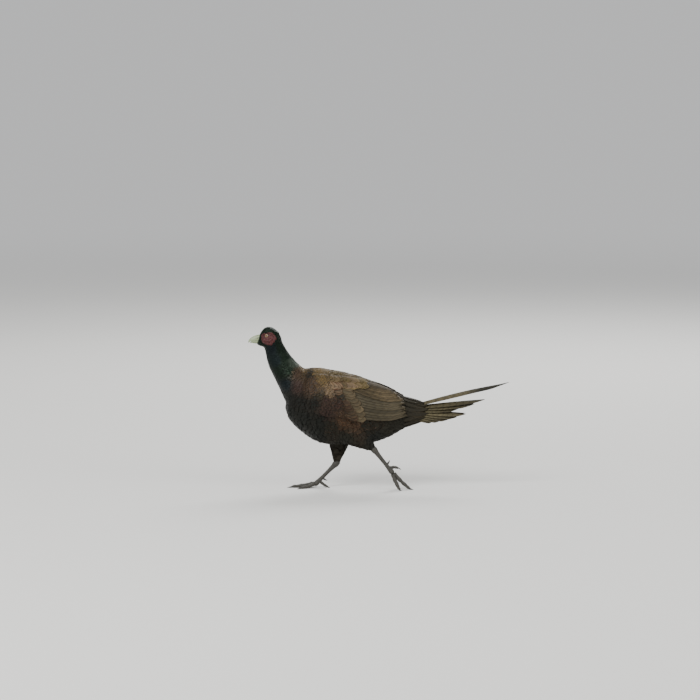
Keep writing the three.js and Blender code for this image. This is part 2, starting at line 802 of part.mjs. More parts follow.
// Each leg is clear of what was placed before it and ends level with the floor
const floor = solidOf(new THREE.BoxGeometry(600, 300, 60).translate(0, 0, -30));
LEGS.forEach((leg) => {
  const finish = (solid, taken) => largest(solid.subtract(taken).subtract(floor));
  addPart(`thigh_${leg.name}`, finish(thigh(leg, 0), clearOfWhole), COLOURS.thigh, 0.8);
  addPart(`tarsus_${leg.name}`, finish(tarsus(leg, 0), thigh(leg, JOIN_GAP)), COLOURS.scales, 0.6);
  let taken = tarsus(leg, JOIN_GAP);
  addPart(`spur_${leg.name}`, finish(spur(leg), taken), COLOURS.claw, 0.45);
  TOE_ORDER.forEach((number) => {
    const path = TOE_PATHS[leg.name][number];
    const radius = TOE_RADIUS[number];
    const clearOfToe = toe(path, radius, JOIN_GAP);
    const nail = claw(path, CLAW.length[number], CLAW.share * radius);
    addPart(`toe_${leg.name}_${number}`, finish(toe(path, radius, 0), taken), COLOURS.scales, 0.6);
    addPart(`claw_${leg.name}_${number}`, finish(nail, clearOfToe), COLOURS.claw, 0.45);
    taken = taken.add(clearOfToe);
  });
});

// The origin is the middle of the box round the whole bird, on the floor
const reach = new THREE.Box3().setFromObject(model);
model.position.x = -(reach.min.x + reach.max.x) / 2;

export default model;
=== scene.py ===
"""A cock common pheasant in full plumage, walking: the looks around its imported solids.

Lengths are in millimetres along the bird and become metres in in_metres(). Colours are linear.
"""
import itertools
import math

import bmesh
import bpy
import numpy as np
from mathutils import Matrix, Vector
from mathutils.bvhtree import BVHTree


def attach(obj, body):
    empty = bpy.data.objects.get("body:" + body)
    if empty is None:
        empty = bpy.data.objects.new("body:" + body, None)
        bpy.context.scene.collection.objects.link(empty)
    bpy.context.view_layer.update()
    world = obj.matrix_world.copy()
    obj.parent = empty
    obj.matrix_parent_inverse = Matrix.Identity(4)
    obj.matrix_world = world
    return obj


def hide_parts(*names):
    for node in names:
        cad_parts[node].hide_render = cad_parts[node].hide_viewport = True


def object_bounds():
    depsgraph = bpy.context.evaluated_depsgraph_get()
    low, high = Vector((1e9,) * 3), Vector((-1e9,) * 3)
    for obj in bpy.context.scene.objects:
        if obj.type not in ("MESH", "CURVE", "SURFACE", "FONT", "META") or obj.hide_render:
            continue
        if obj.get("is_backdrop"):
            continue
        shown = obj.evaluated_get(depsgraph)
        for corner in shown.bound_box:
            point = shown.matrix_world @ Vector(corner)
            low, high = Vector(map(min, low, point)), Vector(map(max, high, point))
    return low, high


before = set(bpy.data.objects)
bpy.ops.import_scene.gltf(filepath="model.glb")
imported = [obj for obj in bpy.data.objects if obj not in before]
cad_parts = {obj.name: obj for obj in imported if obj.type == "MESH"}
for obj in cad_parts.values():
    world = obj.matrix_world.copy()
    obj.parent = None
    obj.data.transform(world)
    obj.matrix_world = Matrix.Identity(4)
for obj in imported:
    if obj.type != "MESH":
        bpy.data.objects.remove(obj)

CAD_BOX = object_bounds()

# The flesh under the plumage: head, neck, trunk, thighs, tail root and the arms of the folded wings
# are one closed skin. It is drawn together from the solids, smoothed, and sunk by the coat's depth.
BILL_TIP_X = -213.0
SHIFT = BILL_TIP_X - 1000 * CAD_BOX[0][0]
SIDES = ((-1, "left"), (1, "right"))
SKIN_VOXEL = 1.7
SKIN_SMOOTHING = 22
DEPTH_SHARE = 0.13
# Places of a table nearer than this count alike
NEAR = 3.0

# Lie and size of the feathers at places of the side view: x, z, heading in x and z, length, width
LIE = np.array([
    (-190, 343, 0.55, 0.84, 4.2, 2.8),
    (-178, 356, 0.90, 0.40, 5.0, 3.0),
    (-160, 362, 1.00, -0.15, 7.0, 3.6),
    (-145, 348, 0.75, -0.65, 8.0, 4.2),
    (-189, 317, 0.60, -0.80, 4.2, 2.8),
    (-165, 325, 0.50, -0.85, 5.0, 3.2),
    (-160, 305, 0.30, -0.95, 6.2, 3.8),
    (-135, 318, 0.60, -0.80, 7.2, 4.2),
    (-152, 288, 0.30, -0.95, 7.6, 4.6),
    (-122, 288, 0.65, -0.75, 9.0, 5.4),
    (-138, 252, 0.25, -0.97, 10.0, 6.2),
    (-103, 262, 0.88, -0.45, 14.0, 9.0),
    (-115, 235, 0.50, -0.87, 14.0, 9.0),
    (-130, 205, 0.20, -0.98, 15.0, 10.0),
    (-125, 170, 0.45, -0.90, 18.0, 12.0),
    (-95, 135, 0.85, -0.50, 20.0, 13.0),
    (-88, 205, 0.80, -0.60, 18.0, 12.0),
    (-50, 105, 0.98, -0.15, 22.0, 14.0),
    (10, 100, 1.00, 0.00, 23.0, 14.0),
    (-60, 262, 1.00, -0.06, 18.0, 12.0),
    (-20, 258, 1.00, -0.12, 19.0, 12.5),
    (30, 245, 0.97, -0.22, 22.0, 13.0),
    (90, 225, 0.94, -0.34, 26.0, 12.5),
    (-45, 175, 0.95, -0.30, 22.0, 14.0),
    (20, 150, 0.98, -0.10, 27.0, 15.0),
    (70, 130, 0.97, 0.20, 25.0, 13.5),
    (120, 145, 0.93, 0.35, 24.0, 12.0),
    (140, 175, 1.00, 0.02, 24.0, 11.0),
    (152, 192, 0.97, -0.15, 26.0, 11.0),
])


def nearness(table, points):
    """Weights of the places of a table for points, by their distance in the side view."""
    apart = points[:, None, [0, 2]] - table[None, :, :2]
    weight = 1 / ((apart ** 2).sum(2) + NEAR ** 2) ** 2
    return weight / weight.sum(1, keepdims=True)


def lie_at(points):
    """Heading, length and width of the feathers at points."""
    mean = nearness(LIE, points) @ LIE[:, 2:]
    heading = np.stack([mean[:, 0], np.zeros(len(mean)), mean[:, 1]], 1)
    return heading, mean[:, 2], mean[:, 3]


def along(table, x):
    """All columns of a table at x, on smooth curves through its rows."""
    table = np.asarray(table, float)
    x = np.atleast_1d(np.asarray(x, float))
    knots = table[:, 0]
    row = np.clip(np.searchsorted(knots, x, side="right") - 1, 0, len(knots) - 2)
    before = np.maximum(np.arange(len(knots)) - 1, 0)
    after = np.minimum(np.arange(len(knots)) + 1, len(knots) - 1)
    slope = (table[after] - table[before]) / (knots[after] - knots[before])[:, None]
    span = (knots[row + 1] - knots[row])[:, None]
    t = np.clip((x[:, None] - knots[row][:, None]) / span, 0, 1)
    rise = table[row + 1] - table[row]
    start = slope[row] * span
    end = slope[row + 1] * span
    square = 3 * rise - 2 * start - end
    cube = start + end - 2 * rise
    return table[row] + start * t + square * t ** 2 + cube * t ** 3


def sections(table, count):
    """Rows of a table of sections, spaced evenly from its first x to its last."""
    return along(table, np.linspace(table[0][0], table[-1][0], count))


def circle(count):
    """Angles all round, evenly spaced."""
    return np.linspace(0, 2 * math.pi, count, endpoint=False)


def unit(vectors):
    """Vectors brought to length 1."""
    return vectors / np.linalg.norm(vectors, axis=-1, keepdims=True)


def rings_mesh(rings):
    """Points and faces of a closed body through rings of equal count, with a fan over each end."""
    rings = np.asarray(rings)
    count, sides = rings.shape[:2]
    points = np.concatenate([rings.reshape(-1, 3), rings[0].mean(0)[None], rings[-1].mean(0)[None]])
    faces = []
    for i in range(count - 1):
        for j in range(sides):
            a = i * sides + j
            b = i * sides + (j + 1) % sides
            faces.append((a, b, b + sides, a + sides))
    last = (count - 1) * sides
    for j in range(sides):
        faces.append(((j + 1) % sides, j, count * sides))
        faces.append((last + j, last + (j + 1) % sides, count * sides + 1))
    return points, faces


def in_metres(points):
    """Points in the frame's own place and unit."""
    return (np.asarray(points) - (SHIFT, 0, 0)) / 1000


def in_millimetres(points):
    """Points of the frame in this script's place and unit."""
    return np.array(points) * 1000 + (SHIFT, 0, 0)


def placed(name, data):
    """An object for a mesh, lamp or camera, in the scene."""
    thing = bpy.data.objects.new(name, data)
    bpy.context.scene.collection.objects.link(thing)
    return thing


def piece(name, points, faces):
    """An object with its mesh in metres, at the origin, with its faces turned outwards."""
    mesh = bpy.data.meshes.new(name)
    mesh.from_pydata(in_metres(points).tolist(), [], [tuple(f) for f in faces])
    build = bmesh.new()
    build.from_mesh(mesh)
    bmesh.ops.recalc_face_normals(build, faces=build.faces)
    build.to_mesh(mesh)
    build.free()
    mesh.polygons.foreach_set("use_smooth", [True] * len(mesh.polygons))
    return placed(name, mesh)


def dress(thing, finish, slot, *nodes):
    """Give a piece its finish and its body, in place of the nodes that it stands for. The slot is not used.
    """
    thing.data.materials.append(finish)
    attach(thing, "root")
    if nodes:
        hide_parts(*nodes)


# The wing lies on a hull a little wider than the trunk: x, top, bottom and half width of its sections
WING_HULL = (
    (-110, 247, 139, 38),
    (-97, 264, 127, 44),
    (-70, 273, 108, 52),
    (-42, 270, 99, 55),
    (12, 260, 99, 55),
    (50, 247, 101, 51),
    (84, 234, 108, 45),
    (109, 222, 119, 38.5),
    (130, 211, 130, 32.5),
    (155, 197, 145, 27),
)
# The arm in the folded wing: x, upper and lower edge as girth up from the widest line, thickness
WING_ARM = (
    (-94, 30, 4, 1),
    (-84, 52, -10, 4.2),
    (-64, 70, -17, 6),
    (-20, 74, -18, 5.9),
    (12, 70, -18, 4.8),
    (42, 50, -17, 2.2),
    (62, 34, -13, 0.8),
)
ARM_INSIDE = -6.0
# The root of the tail: x, top, bottom and half width of its sections
TAIL_ROOT = (
    (118, 212, 129, 30),
    (130, 207, 134, 27),
    (152, 198, 142, 20.5),
    (170, 192, 149, 15),
    (179, 187, 156, 9),
    (182, 180, 166, 3),
)


def hull_at(x):
    """Half height, half width and the height of the widest line of the wing's hull at x."""
    _, top, low, wide = along(WING_HULL, x).T
    return (top - low) / 2, wide, (top + low) / 2


def on_hull(side, x, girth, lift):
    """Points on the wing's hull: x, girth up from its widest line, and lift off it."""
    tall, wide, level = hull_at(x)
    turn = 2 * np.asarray(girth, float) / (tall + wide)
    out = unit(np.stack([tall * np.cos(turn), wide * np.sin(turn)], 1))
    y = wide * np.cos(turn) + out[:, 0] * lift
    z = level + tall * np.sin(turn) + out[:, 1] * lift
    return np.stack([np.broadcast_to(x, y.shape), side * y, z], 1)


def girth_of(points):
    """How far up from the hull's widest line points lie, measured round the hull."""
    tall, wide, level = hull_at(points[:, 0])
    height = (points[:, 2] - level) / tall
    return np.arctan2(height, np.abs(points[:, 1]) / wide) * (tall + wide) / 2


def flesh_sources():
    """Copies of the solids of flesh, with the tail root and both arms, as points and faces."""
    for name in ("head", "neck", "torso", "thigh_left", "thigh_right"):
        build = bmesh.new()
        build.from_mesh(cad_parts[name].data)
        bmesh.ops.remove_doubles(build, verts=build.verts, dist=1e-6)
        yield in_millimetres([v.co for v in build.verts]), [[v.index for v in f.verts] for f in build.faces]
        build.free()
    rings = []
    for x, top, low, wide in sections(TAIL_ROOT, 16):
        turns = circle(32)
        height = (top + low) / 2 + (top - low) / 2 * np.sin(turns)
        rings.append(np.stack([np.full(len(turns), x), wide * np.cos(turns), height], 1))
    yield rings_mesh(rings)
    share = np.linspace(0.03, 0.97, 14)
    for side, _ in SIDES:
        rings = []
        for x, upper, lower, thick in sections(WING_ARM, 32):
            girth = lower + (upper - lower) * share
            back = lower + (upper - lower) * share[::-1]
            outer = on_hull(side, x, girth, thick * np.sin(math.pi * share) ** 0.3)
            inner = on_hull(side, x, back, np.full(len(share), ARM_INSIDE))
            rings.append(np.concatenate([outer, inner]))
        yield rings_mesh(rings)


def drawn_together(sources):
    """One closed smooth mesh round all of the sources."""
    points, faces, offset = [], [], 0
    for source_points, source_faces in sources:
        points.append(source_points)
        faces += [tuple(v + offset for v in f) for f in source_faces]
        offset += len(source_points)
    thing = piece("flesh", np.concatenate(points), faces)
    remesh = thing.modifiers.new("remesh", "REMESH")
    remesh.mode = "VOXEL"
    remesh.voxel_size = SKIN_VOXEL / 1000
    smooth = thing.modifiers.new("smooth", "SMOOTH")
    smooth.factor = 0.5
    smooth.iterations = SKIN_SMOOTHING
    seen = thing.evaluated_get(bpy.context.evaluated_depsgraph_get())
    mesh = bpy.data.meshes.new_from_object(seen)
    bpy.data.objects.remove(thing)
    return mesh


def sunk(mesh):
    """The mesh moved in by the coat's depth, in millimetres, as points and faces."""
    points = in_millimetres([v.co for v in mesh.vertices])
    normals = np.array([v.normal for v in mesh.vertices])
    depth = DEPTH_SHARE * lie_at(points)[1]
    return points - normals * depth[:, None], [tuple(p.vertices) for p in mesh.polygons]


SKIN_POINTS, SKIN_FACES = sunk(drawn_together(flesh_sources()))
SURFACE = BVHTree.FromPolygons(SKIN_POINTS.tolist(), SKIN_FACES)
skin = piece("skin", SKIN_POINTS, SKIN_FACES)

# The markings of the plumage: at places of the side view, what the middle and the fringe of a
# feather look like, and how strong its dark mark is. The skin takes the same colours.
BOTTLE_GREEN = (0.006, 0.014, 0.007)
GREEN_EDGE = (0.008, 0.025, 0.014)
THROAT_BLUE = (0.007, 0.013, 0.015)
VIOLET_EDGE = (0.011, 0.013, 0.022)
SLATE = (0.058, 0.076, 0.056)
SLATE_EDGE = (0.078, 0.098, 0.072)
PLUM = (0.048, 0.026, 0.020)
PLUM_EDGE = (0.030, 0.019, 0.016)
INK = (0.010, 0.011, 0.009)
INK_EDGE = (0.013, 0.014, 0.012)
COPPER = (0.074, 0.040, 0.021)
COPPER_EDGE = (0.048, 0.026, 0.015)
CHESTNUT = (0.066, 0.038, 0.021)
GOLD = (0.155, 0.101, 0.035)
GOLD_EDGE = (0.185, 0.130, 0.050)
OLIVE = (0.098, 0.071, 0.027)
OLIVE_EDGE = (0.125, 0.094, 0.040)
BUFF = (0.178, 0.121, 0.072)
BUFF_EDGE = (0.105, 0.050, 0.028)
SOOT = (0.016, 0.015, 0.010)
SOOT_EDGE = (0.026, 0.022, 0.014)
UMBER = (0.044, 0.034, 0.019)
UMBER_EDGE = (0.074, 0.058, 0.033)
MARKINGS = (
    (-175, 350, BOTTLE_GREEN, GREEN_EDGE, 0.0),
    (-150, 350, BOTTLE_GREEN, GREEN_EDGE, 0.0),
    (-185, 318, BOTTLE_GREEN, GREEN_EDGE, 0.0),
    (-160, 310, THROAT_BLUE, VIOLET_EDGE, 0.0),
    (-140, 315, BOTTLE_GREEN, GREEN_EDGE, 0.0),
    (-150, 285, THROAT_BLUE, GREEN_EDGE, 0.0),
    (-128, 290, BOTTLE_GREEN, GREEN_EDGE, 0.0),
    (-138, 262, BOTTLE_GREEN, VIOLET_EDGE, 0.0),
    (-118, 284, SLATE, SLATE_EDGE, 0.0),
    (-111, 278, SLATE, SLATE_EDGE, 0.0),
    (-129, 276, BOTTLE_GREEN, GREEN_EDGE, 0.0),
    (-122, 264, BOTTLE_GREEN, GREEN_EDGE, 0.0),
    (-117, 292, BOTTLE_GREEN, GREEN_EDGE, 0.0),
    (-128, 232, THROAT_BLUE, VIOLET_EDGE, 0.1),
    (-126, 205, INK, INK_EDGE, 0.2),
    (-126, 170, INK, INK_EDGE, 0.1),
    (-100, 135, INK, INK_EDGE, 0.0),
    (-102, 258, CHESTNUT, PLUM_EDGE, 0.6),
    (-102, 230, PLUM, PLUM_EDGE, 0.5),
    (-95, 195, INK, PLUM_EDGE, 0.4),
    (-85, 160, INK, INK_EDGE, 0.3),
    (-72, 225, CHESTNUT, PLUM_EDGE, 0.7),
    (-65, 195, INK, PLUM_EDGE, 0.4),
    (-40, 205, PLUM, PLUM_EDGE, 0.6),
    (-38, 175, PLUM, INK_EDGE, 0.5),
    (-50, 155, INK, INK_EDGE, 0.3),
    (-12, 195, PLUM, COPPER_EDGE, 0.7),
    (-55, 125, INK, INK_EDGE, 0.2),
    (-88, 268, GOLD, CHESTNUT, 0.8),
    (-75, 255, SOOT_EDGE, CHESTNUT, 1.0),
    (-72, 246, CHESTNUT, COPPER, 0.8),
    (-55, 268, GOLD, GOLD_EDGE, 0.5),
    (-48, 246, GOLD, COPPER, 0.7),
    (-62, 232, CHESTNUT, GOLD, 0.6),
    (-34, 220, BUFF, GOLD_EDGE, 0.3),
    (-18, 232, BUFF, BUFF_EDGE, 0.5),
    (14, 230, BUFF, GOLD_EDGE, 0.3),
    (-9, 209, SOOT_EDGE, COPPER, 0.8),
    (10, 212, UMBER, COPPER, 0.7),
    (-50, 212, UMBER, SOOT, 0.9),
    (-18, 262, OLIVE, GOLD_EDGE, 0.4),
    (0, 246, OLIVE, COPPER, 0.5),
    (40, 246, OLIVE, OLIVE_EDGE, 0.3),
    (30, 215, OLIVE, UMBER, 0.4),
    (8, 190, COPPER_EDGE, UMBER_EDGE, 0.8),
    (32, 190, UMBER_EDGE, UMBER, 0.4),
    (70, 236, UMBER, OLIVE_EDGE, 0.2),
    (98, 226, SOOT, UMBER_EDGE, 0.2),
    (0, 155, COPPER, COPPER_EDGE, 0.6),
    (26, 150, CHESTNUT, COPPER_EDGE, 0.5),
    (-26, 140, SOOT, COPPER_EDGE, 0.3),
    (5, 118, SOOT, INK_EDGE, 0.2),
    (55, 148, SOOT, COPPER_EDGE, 0.3),
    (70, 115, INK, INK_EDGE, 0.0),
    (115, 135, SOOT, SOOT_EDGE, 0.0),
    (130, 160, SOOT, SOOT_EDGE, 0.1),
    (135, 202, SOOT_EDGE, UMBER, 0.1),
    (160, 180, UMBER, SOOT_EDGE, 0.1),
)
MARKING_PLACES = np.array([row[:2] for row in MARKINGS], float)
MARKING_VALUES = np.array([(*row[2], *row[3], row[4]) for row in MARKINGS])


def markings_at(points):
    """Colour of the middle, colour of the fringe and strength of the dark mark at points."""
    mean = nearness(MARKING_PLACES, points) @ MARKING_VALUES
    return mean[:, :3], mean[:, 3:6], mean[:, 6]


class Value:
    """A shader socket that takes part in Python sums and products."""

    def __init__(self, finish, socket):
        self.finish = finish
        self.socket = socket

    def math(self, operation, *values):
        return self.finish.node("ShaderNodeMath", {"operation": operation}, dict(enumerate(values)))

    def __add__(self, other):
        return self.math("ADD", self, other)

    def __sub__(self, other):
        return self.math("SUBTRACT", self, other)

    def __rsub__(self, other):
        return self.math("SUBTRACT", other, self)

    def __mul__(self, other):
        return self.math("MULTIPLY", self, other)

    def __pow__(self, other):
        return self.math("POWER", self, other)

    def __abs__(self):
        return self.math("ABSOLUTE", self)

    __radd__ = __add__
    __rmul__ = __mul__

    def sine(self):
        return self.math("SINE", self)

    def ramp(self, low, high):
        """0 up to low, 1 from high, smooth between them."""
        settings = {"interpolation_type": "SMOOTHSTEP"}
        return self.finish.node("ShaderNodeMapRange", settings, {0: self, 1: low, 2: high})


class Finish:
    """A procedural material under way."""

    def __init__(self, name):
        self.material = bpy.data.materials.new(name)
        self.material.use_nodes = True
        self.tree = self.material.node_tree
        self.shader = next(n for n in self.tree.nodes if n.type == "BSDF_PRINCIPLED")

    def feed(self, socket, value):
        if isinstance(value, Value):
            self.tree.links.new(value.socket, socket)
        elif socket.type == "RGBA" and len(value) == 3:
            socket.default_value = (*value, 1)
        else:
            socket.default_value = value

    def node(self, kind, settings=None, sockets=None, output=0):
        """Any node, by its type, its settings and the values or links of its sockets."""
        node = self.tree.nodes.new(kind)
        for name, value in (settings or {}).items():
            setattr(node, name, value)
        for name, value in (sockets or {}).items():
            self.feed(node.inputs[name], value)
        return Value(self, node.outputs[output])

    def blend(self, share, first, second):
        """Two colours mixed by a share."""
        sockets = {0: share, 6: first, 7: second}
        return self.node("ShaderNodeMix", {"data_type": "RGBA"}, sockets, output=2)

    def attribute(self, name, output="Fac"):
        return self.node("ShaderNodeAttribute", {"attribute_name": name}, output=output)

    def place(self):
        return self.node("ShaderNodeTexCoord", output="Object")

    def vector(self, operation, *values, output=0):
        return self.node("ShaderNodeVectorMath", {"operation": operation}, dict(enumerate(values)), output)

    def noise(self, scale, detail=3.0, vector=None):
        sockets = {"Vector": vector or self.place(), "Scale": scale, "Detail": detail}
        return self.node("ShaderNodeTexNoise", sockets=sockets)

    def cells(self, scale):
        return self.node("ShaderNodeTexVoronoi", sockets={"Vector": self.place(), "Scale": scale})

    def bump(self, height, distance, strength=1.0):
        sockets = {"Height": height, "Distance": distance, "Strength": strength}
        return self.node("ShaderNodeBump", sockets=sockets)

    def surface(self, **sockets):
        """The shader's sockets by their names, with _ for a space."""
        for name, value in sockets.items():
            self.feed(self.shader.inputs[name.replace("_", " ")], value)
        return self.material


def skin_finish():
    """Bare skin with the plumage's own colours, pored and a little dull."""
    finish = Finish("plumage_ground")
    tint = finish.attribute("tint", "Color")
    grain = finish.noise(900.0)
    pores = finish.cells(700.0)
    return finish.surface(
        Base_Color=finish.blend(grain * 0.5, tint, INK),
        Roughness=0.75 + 0.15 * grain,
        Normal=finish.bump(pores, 0.0004),
    )


def paint(thing, name, colours):
    """A colour for each point of a piece."""
    layer = thing.data.attributes.new(name, "FLOAT_COLOR", "POINT")
    layer.data.foreach_set("color", np.concatenate([colours, np.ones((len(colours), 1))], 1).ravel())


SKIN_SHADE = 0.7
paint(skin, "tint", markings_at(SKIN_POINTS)[0] * SKIN_SHADE)
dress(skin, skin_finish(), "body_feathers", "head", "neck", "torso", "thigh_left", "thigh_right")

# Contour feathers of the head, neck and body: thin vanes in close rows, each rooted in the skin
# and lying back over the roots behind it. They are small on the head and broad on breast and back.
SPINE = np.array([
    (-193, 325),
    (-170, 337),
    (-156, 326),
    (-144, 294),
    (-128, 262),
    (-104, 228),
    (-66, 196),
    (-10, 180),
    (60, 173),
    (130, 171),
    (176, 174),
], float)
SPINE_COUNT = 480
SPINE_LENGTH = 560
# Roots: rings of rays find them, with steps in shares of a feather's width and a radius taken from
# that width. They keep clear of one another by shares of a feather's length and width
RING_STEP = 0.28
RAY_STEP = 0.3
RING_RADIUS = (16, 2.6)
ROW_STEP = 0.29
SIDE_STEP = 0.40
# A feather: the shares of its length where it is widest, where its tip begins and how far the tip
# stands off, then how it strays from the lie, how often a tear is deep, and how its tone varies
WIDEST_AT = 0.55
TIP_FROM = 0.75
RISE = 0.11
STRAY = 0.10
DEEP_TEARS = 0.12
TONE_SPREAD = 0.12
# The bake's map: the corner and size of the field of roots, and the size of each feather's tile
BAKE_CORNER = 0.02
BAKE_FIELD = (0.96, 0.78)
BAKE_TILE = 0.003

random = np.random.default_rng(20)


def spine_points(count):
    """Points evenly along the spine, with its direction there and the share of its length."""
    steps = np.linalg.norm(np.diff(SPINE, axis=0), axis=1)
    knots = np.concatenate([[0], np.cumsum(steps)])
    table = np.concatenate([knots[:, None], SPINE], 1)
    at = np.linspace(0, knots[-1], count)
    before = along(table, np.maximum(at - 1, 0))[:, 1:]
    after = along(table, np.minimum(at + 1, knots[-1]))[:, 1:]
    return along(table, at)[:, 1:], unit(after - before), at / knots[-1]


SPINE_PLACES, SPINE_AHEAD, SPINE_SHARES = spine_points(SPINE_COUNT)


def unwrap(points):
    """Where points lie on the skin rolled flat: along the spine and round it."""
    flat = points[:, None, [0, 2]] - SPINE_PLACES[None]
    nearest = (flat ** 2).sum(2).argmin(1)
    ahead = SPINE_AHEAD[nearest]
    up = (flat[np.arange(len(points)), nearest] * np.stack([-ahead[:, 1], ahead[:, 0]], 1)).sum(1)
    turn = np.arctan2(points[:, 1], up) / (2 * math.pi) + 0.5
    shares = np.stack([SPINE_SHARES[nearest], turn], 1)
    return BAKE_CORNER + BAKE_FIELD * shares


class Spread:
    """Roots that keep clear of one another, further along the lie than across it."""

    def __init__(self, cell=5.0):
        self.cell = cell
        self.taken = {}

    def accepts(self, root, heading, step, aside):
        key = tuple(int(math.floor(value / self.cell)) for value in root)
        far = int(math.ceil(max(step, aside) / self.cell))
        for i, j, k in itertools.product(range(-far, far + 1), repeat=3):
            for other in self.taken.get((key[0] + i, key[1] + j, key[2] + k), ()):
                apart = other - root
                lengthwise = apart.dot(heading)
                sideways = apart.length_squared - lengthwise ** 2
                if (lengthwise / step) ** 2 + sideways / aside ** 2 < 1:
                    return False
        self.taken.setdefault(key, []).append(root)
        return True


def flat_on(heading, normal):
    """A heading laid into the surface."""
    laid = heading - normal * heading.dot(normal)
    return laid.normalized() if laid.length > 1e-6 else normal.orthogonal().normalized()


def trunk_roots(accept):
    """Roots over head, neck and trunk, from the tail forwards, as root, normal, heading and sizes."""
    spread = Spread()
    found = []
    at = len(SPINE_PLACES) - 1.0
    odd = False
    while at >= 0:
        i = int(at)
        origin = Vector((SPINE_PLACES[i][0], 0, SPINE_PLACES[i][1]))
        ahead = SPINE_AHEAD[i]
        size = lie_at(np.array([[origin.x, 0, origin.z]]))[2][0]
        count = int(2 * math.pi * (RING_RADIUS[0] + RING_RADIUS[1] * size) / (RAY_STEP * size))
        rays = []
        for k in range(count):
            turn = 2 * math.pi * (k + 0.5 * odd) / count
            ray = Vector((-ahead[1] * math.cos(turn), math.sin(turn), ahead[0] * math.cos(turn)))
            hit, normal, _, _ = SURFACE.ray_cast(origin, ray)
            if hit is not None:
                rays.append((hit, normal))
        headings, lengths, widths = lie_at(np.array([hit for hit, _ in rays]).reshape(-1, 3))
        for (hit, normal), heading, length, width in zip(rays, headings, lengths, widths):
            laid = flat_on(Vector(heading), normal)
            if accept(hit) and spread.accepts(hit, laid, ROW_STEP * length, SIDE_STEP * width):
                found.append((hit, normal, laid, length, width))
        at -= RING_STEP * size * SPINE_COUNT / SPINE_LENGTH
        odd = not odd
    return found


def vane_grid(steps, columns):
    """A vane's places: share along, place across, face (1 above, -1 below, 0 on the rim), step, column."""
    places, number, faces = [], {}, []
    for face in (1, -1):
        for i in range(steps + 1):
            for j in range(columns + 1):
                rim = i in (0, steps) or j in (0, columns)
                if rim and face < 0:
                    number[face, i, j] = number[1, i, j]
                    continue
                number[face, i, j] = len(places)
                places.append((i / steps, 2 * j / columns - 1, 0 if rim else face, i, j))
        for i in range(steps):
            for j in range(columns):
                ring = [number[face, i + a, j + b] for a, b in ((0, 0), (1, 0), (1, 1), (0, 1))]
                faces.append(ring if face > 0 else ring[::-1])
    return np.array(places), np.array(faces)


def vane_outline(t, across, root=0.45, tip=0.22, taper=0.0):
    """Half width's share at t, and how far along a place lies, for a round or tapered tip."""
    wide = np.minimum(1, root + (1 - root) * np.sin(math.pi / 2 * np.minimum(1, t / WIDEST_AT)))
    wide = wide * (1 - taper * t) * (1 - 0.35 * np.clip((t - TIP_FROM) / (1 - TIP_FROM), 0, 1) ** 2)
    return wide, t * (1 - tip * np.abs(across) ** 2.2 * t ** 3)


def grid_axes(steps, columns):
    """Shares along a vane as a column, and places across it as a row."""
    return np.linspace(0, 1, steps + 1)[:, None], np.linspace(-1, 1, columns + 1)[None]


def lay_on_skin(root, normal, heading, length, width, steps, columns, notches):
    """A vane's middle surface over the skin: points and normals for each step and column."""
    centre, face = root, normal
    points = np.zeros((steps + 1, columns + 1, 3))
    normals = np.zeros((steps + 1, columns + 1, 3))
    across = np.linspace(-1, 1, columns + 1)
    for i, t in enumerate(np.linspace(0, 1, steps + 1)):
        if i:
            centre, face, _, _ = SURFACE.find_nearest(centre + heading * (length / steps))
            heading = flat_on(heading, face)
        aside = face.cross(heading)
        wide, reach = vane_outline(np.full(columns + 1, t), across)
        back = (reach - t - notches * t ** 4) * length
        for j in range(columns + 1):
            guess = centre + aside * float(across[j] * wide[j] * width / 2) + heading * float(back[j])
            spot, turned, _, _ = SURFACE.find_nearest(guess)
            points[i, j] = spot
            normals[i, j] = (turned + face).normalized()
    return points, normals


def vanes(name, layouts, grid_shape, thick, marks, slot, finish, *nodes):
    """One piece of many vanes. A layout holds points, normals and rises for each step and column."""
    places, faces = vane_grid(*grid_shape)
    i, j = places[:, 3:].astype(int).T
    points, normals, rises = (np.array([layout[k][i, j] for layout in layouts]) for k in range(3))
    body = thick * (1 - 0.6 * places[:, 0]) * (0.35 + 0.65 * (np.abs(places[:, 1]) < 0.05))
    points = points + normals * (rises + places[:, 2] * body)[..., None]
    count = len(places)
    offsets = (np.arange(len(layouts)) * count)[:, None, None]
    mesh = bpy.data.meshes.new(name)
    flat = in_metres(points.reshape(-1, 3))
    all_faces = (faces[None] + offsets).reshape(-1, 4)
    mesh.vertices.add(len(flat))
    mesh.vertices.foreach_set("co", flat.ravel())
    mesh.loops.add(all_faces.size)
    mesh.loops.foreach_set("vertex_index", all_faces.ravel())
    mesh.polygons.add(len(all_faces))
    mesh.polygons.foreach_set("loop_start", np.arange(0, all_faces.size, 4))
    mesh.polygons.foreach_set("loop_total", np.full(len(all_faces), 4))
    mesh.update(calc_edges=True)
    mesh.polygons.foreach_set("use_smooth", np.ones(len(all_faces), bool))
    local = np.stack([places[:, 1] * 0.5 + 0.5, places[:, 0]], 1)
    patch = unwrap(points[:, i == 0].mean(1))
    bake = (patch[:, None] + BAKE_TILE * (local[None] - 0.5)).reshape(-1, 2)
    for layer_name, layer in (("Vane", np.tile(local, (len(layouts), 1))), ("OFBake", bake)):
        uv = mesh.uv_layers.new(name=layer_name)
        uv.data.foreach_set("uv", layer[all_faces.ravel()].ravel())
    thing = placed(name, mesh)
    middle, fringe, mark = marks
    vary = (1 + TONE_SPREAD * random.standard_normal((len(layouts), 1))).clip(0.75, 1.3)
    paint(thing, "tint", np.repeat(middle * vary, count, 0))
    paint(thing, "fringe", np.repeat(fringe * vary, count, 0))
    for attribute_name, values in (("mark", mark), ("draw", random.random(len(layouts)))):
        layer = mesh.attributes.new(attribute_name, "FLOAT", "POINT")
        layer.data.foreach_set("value", np.repeat(values, count))
    dress(thing, finish, slot, *nodes)


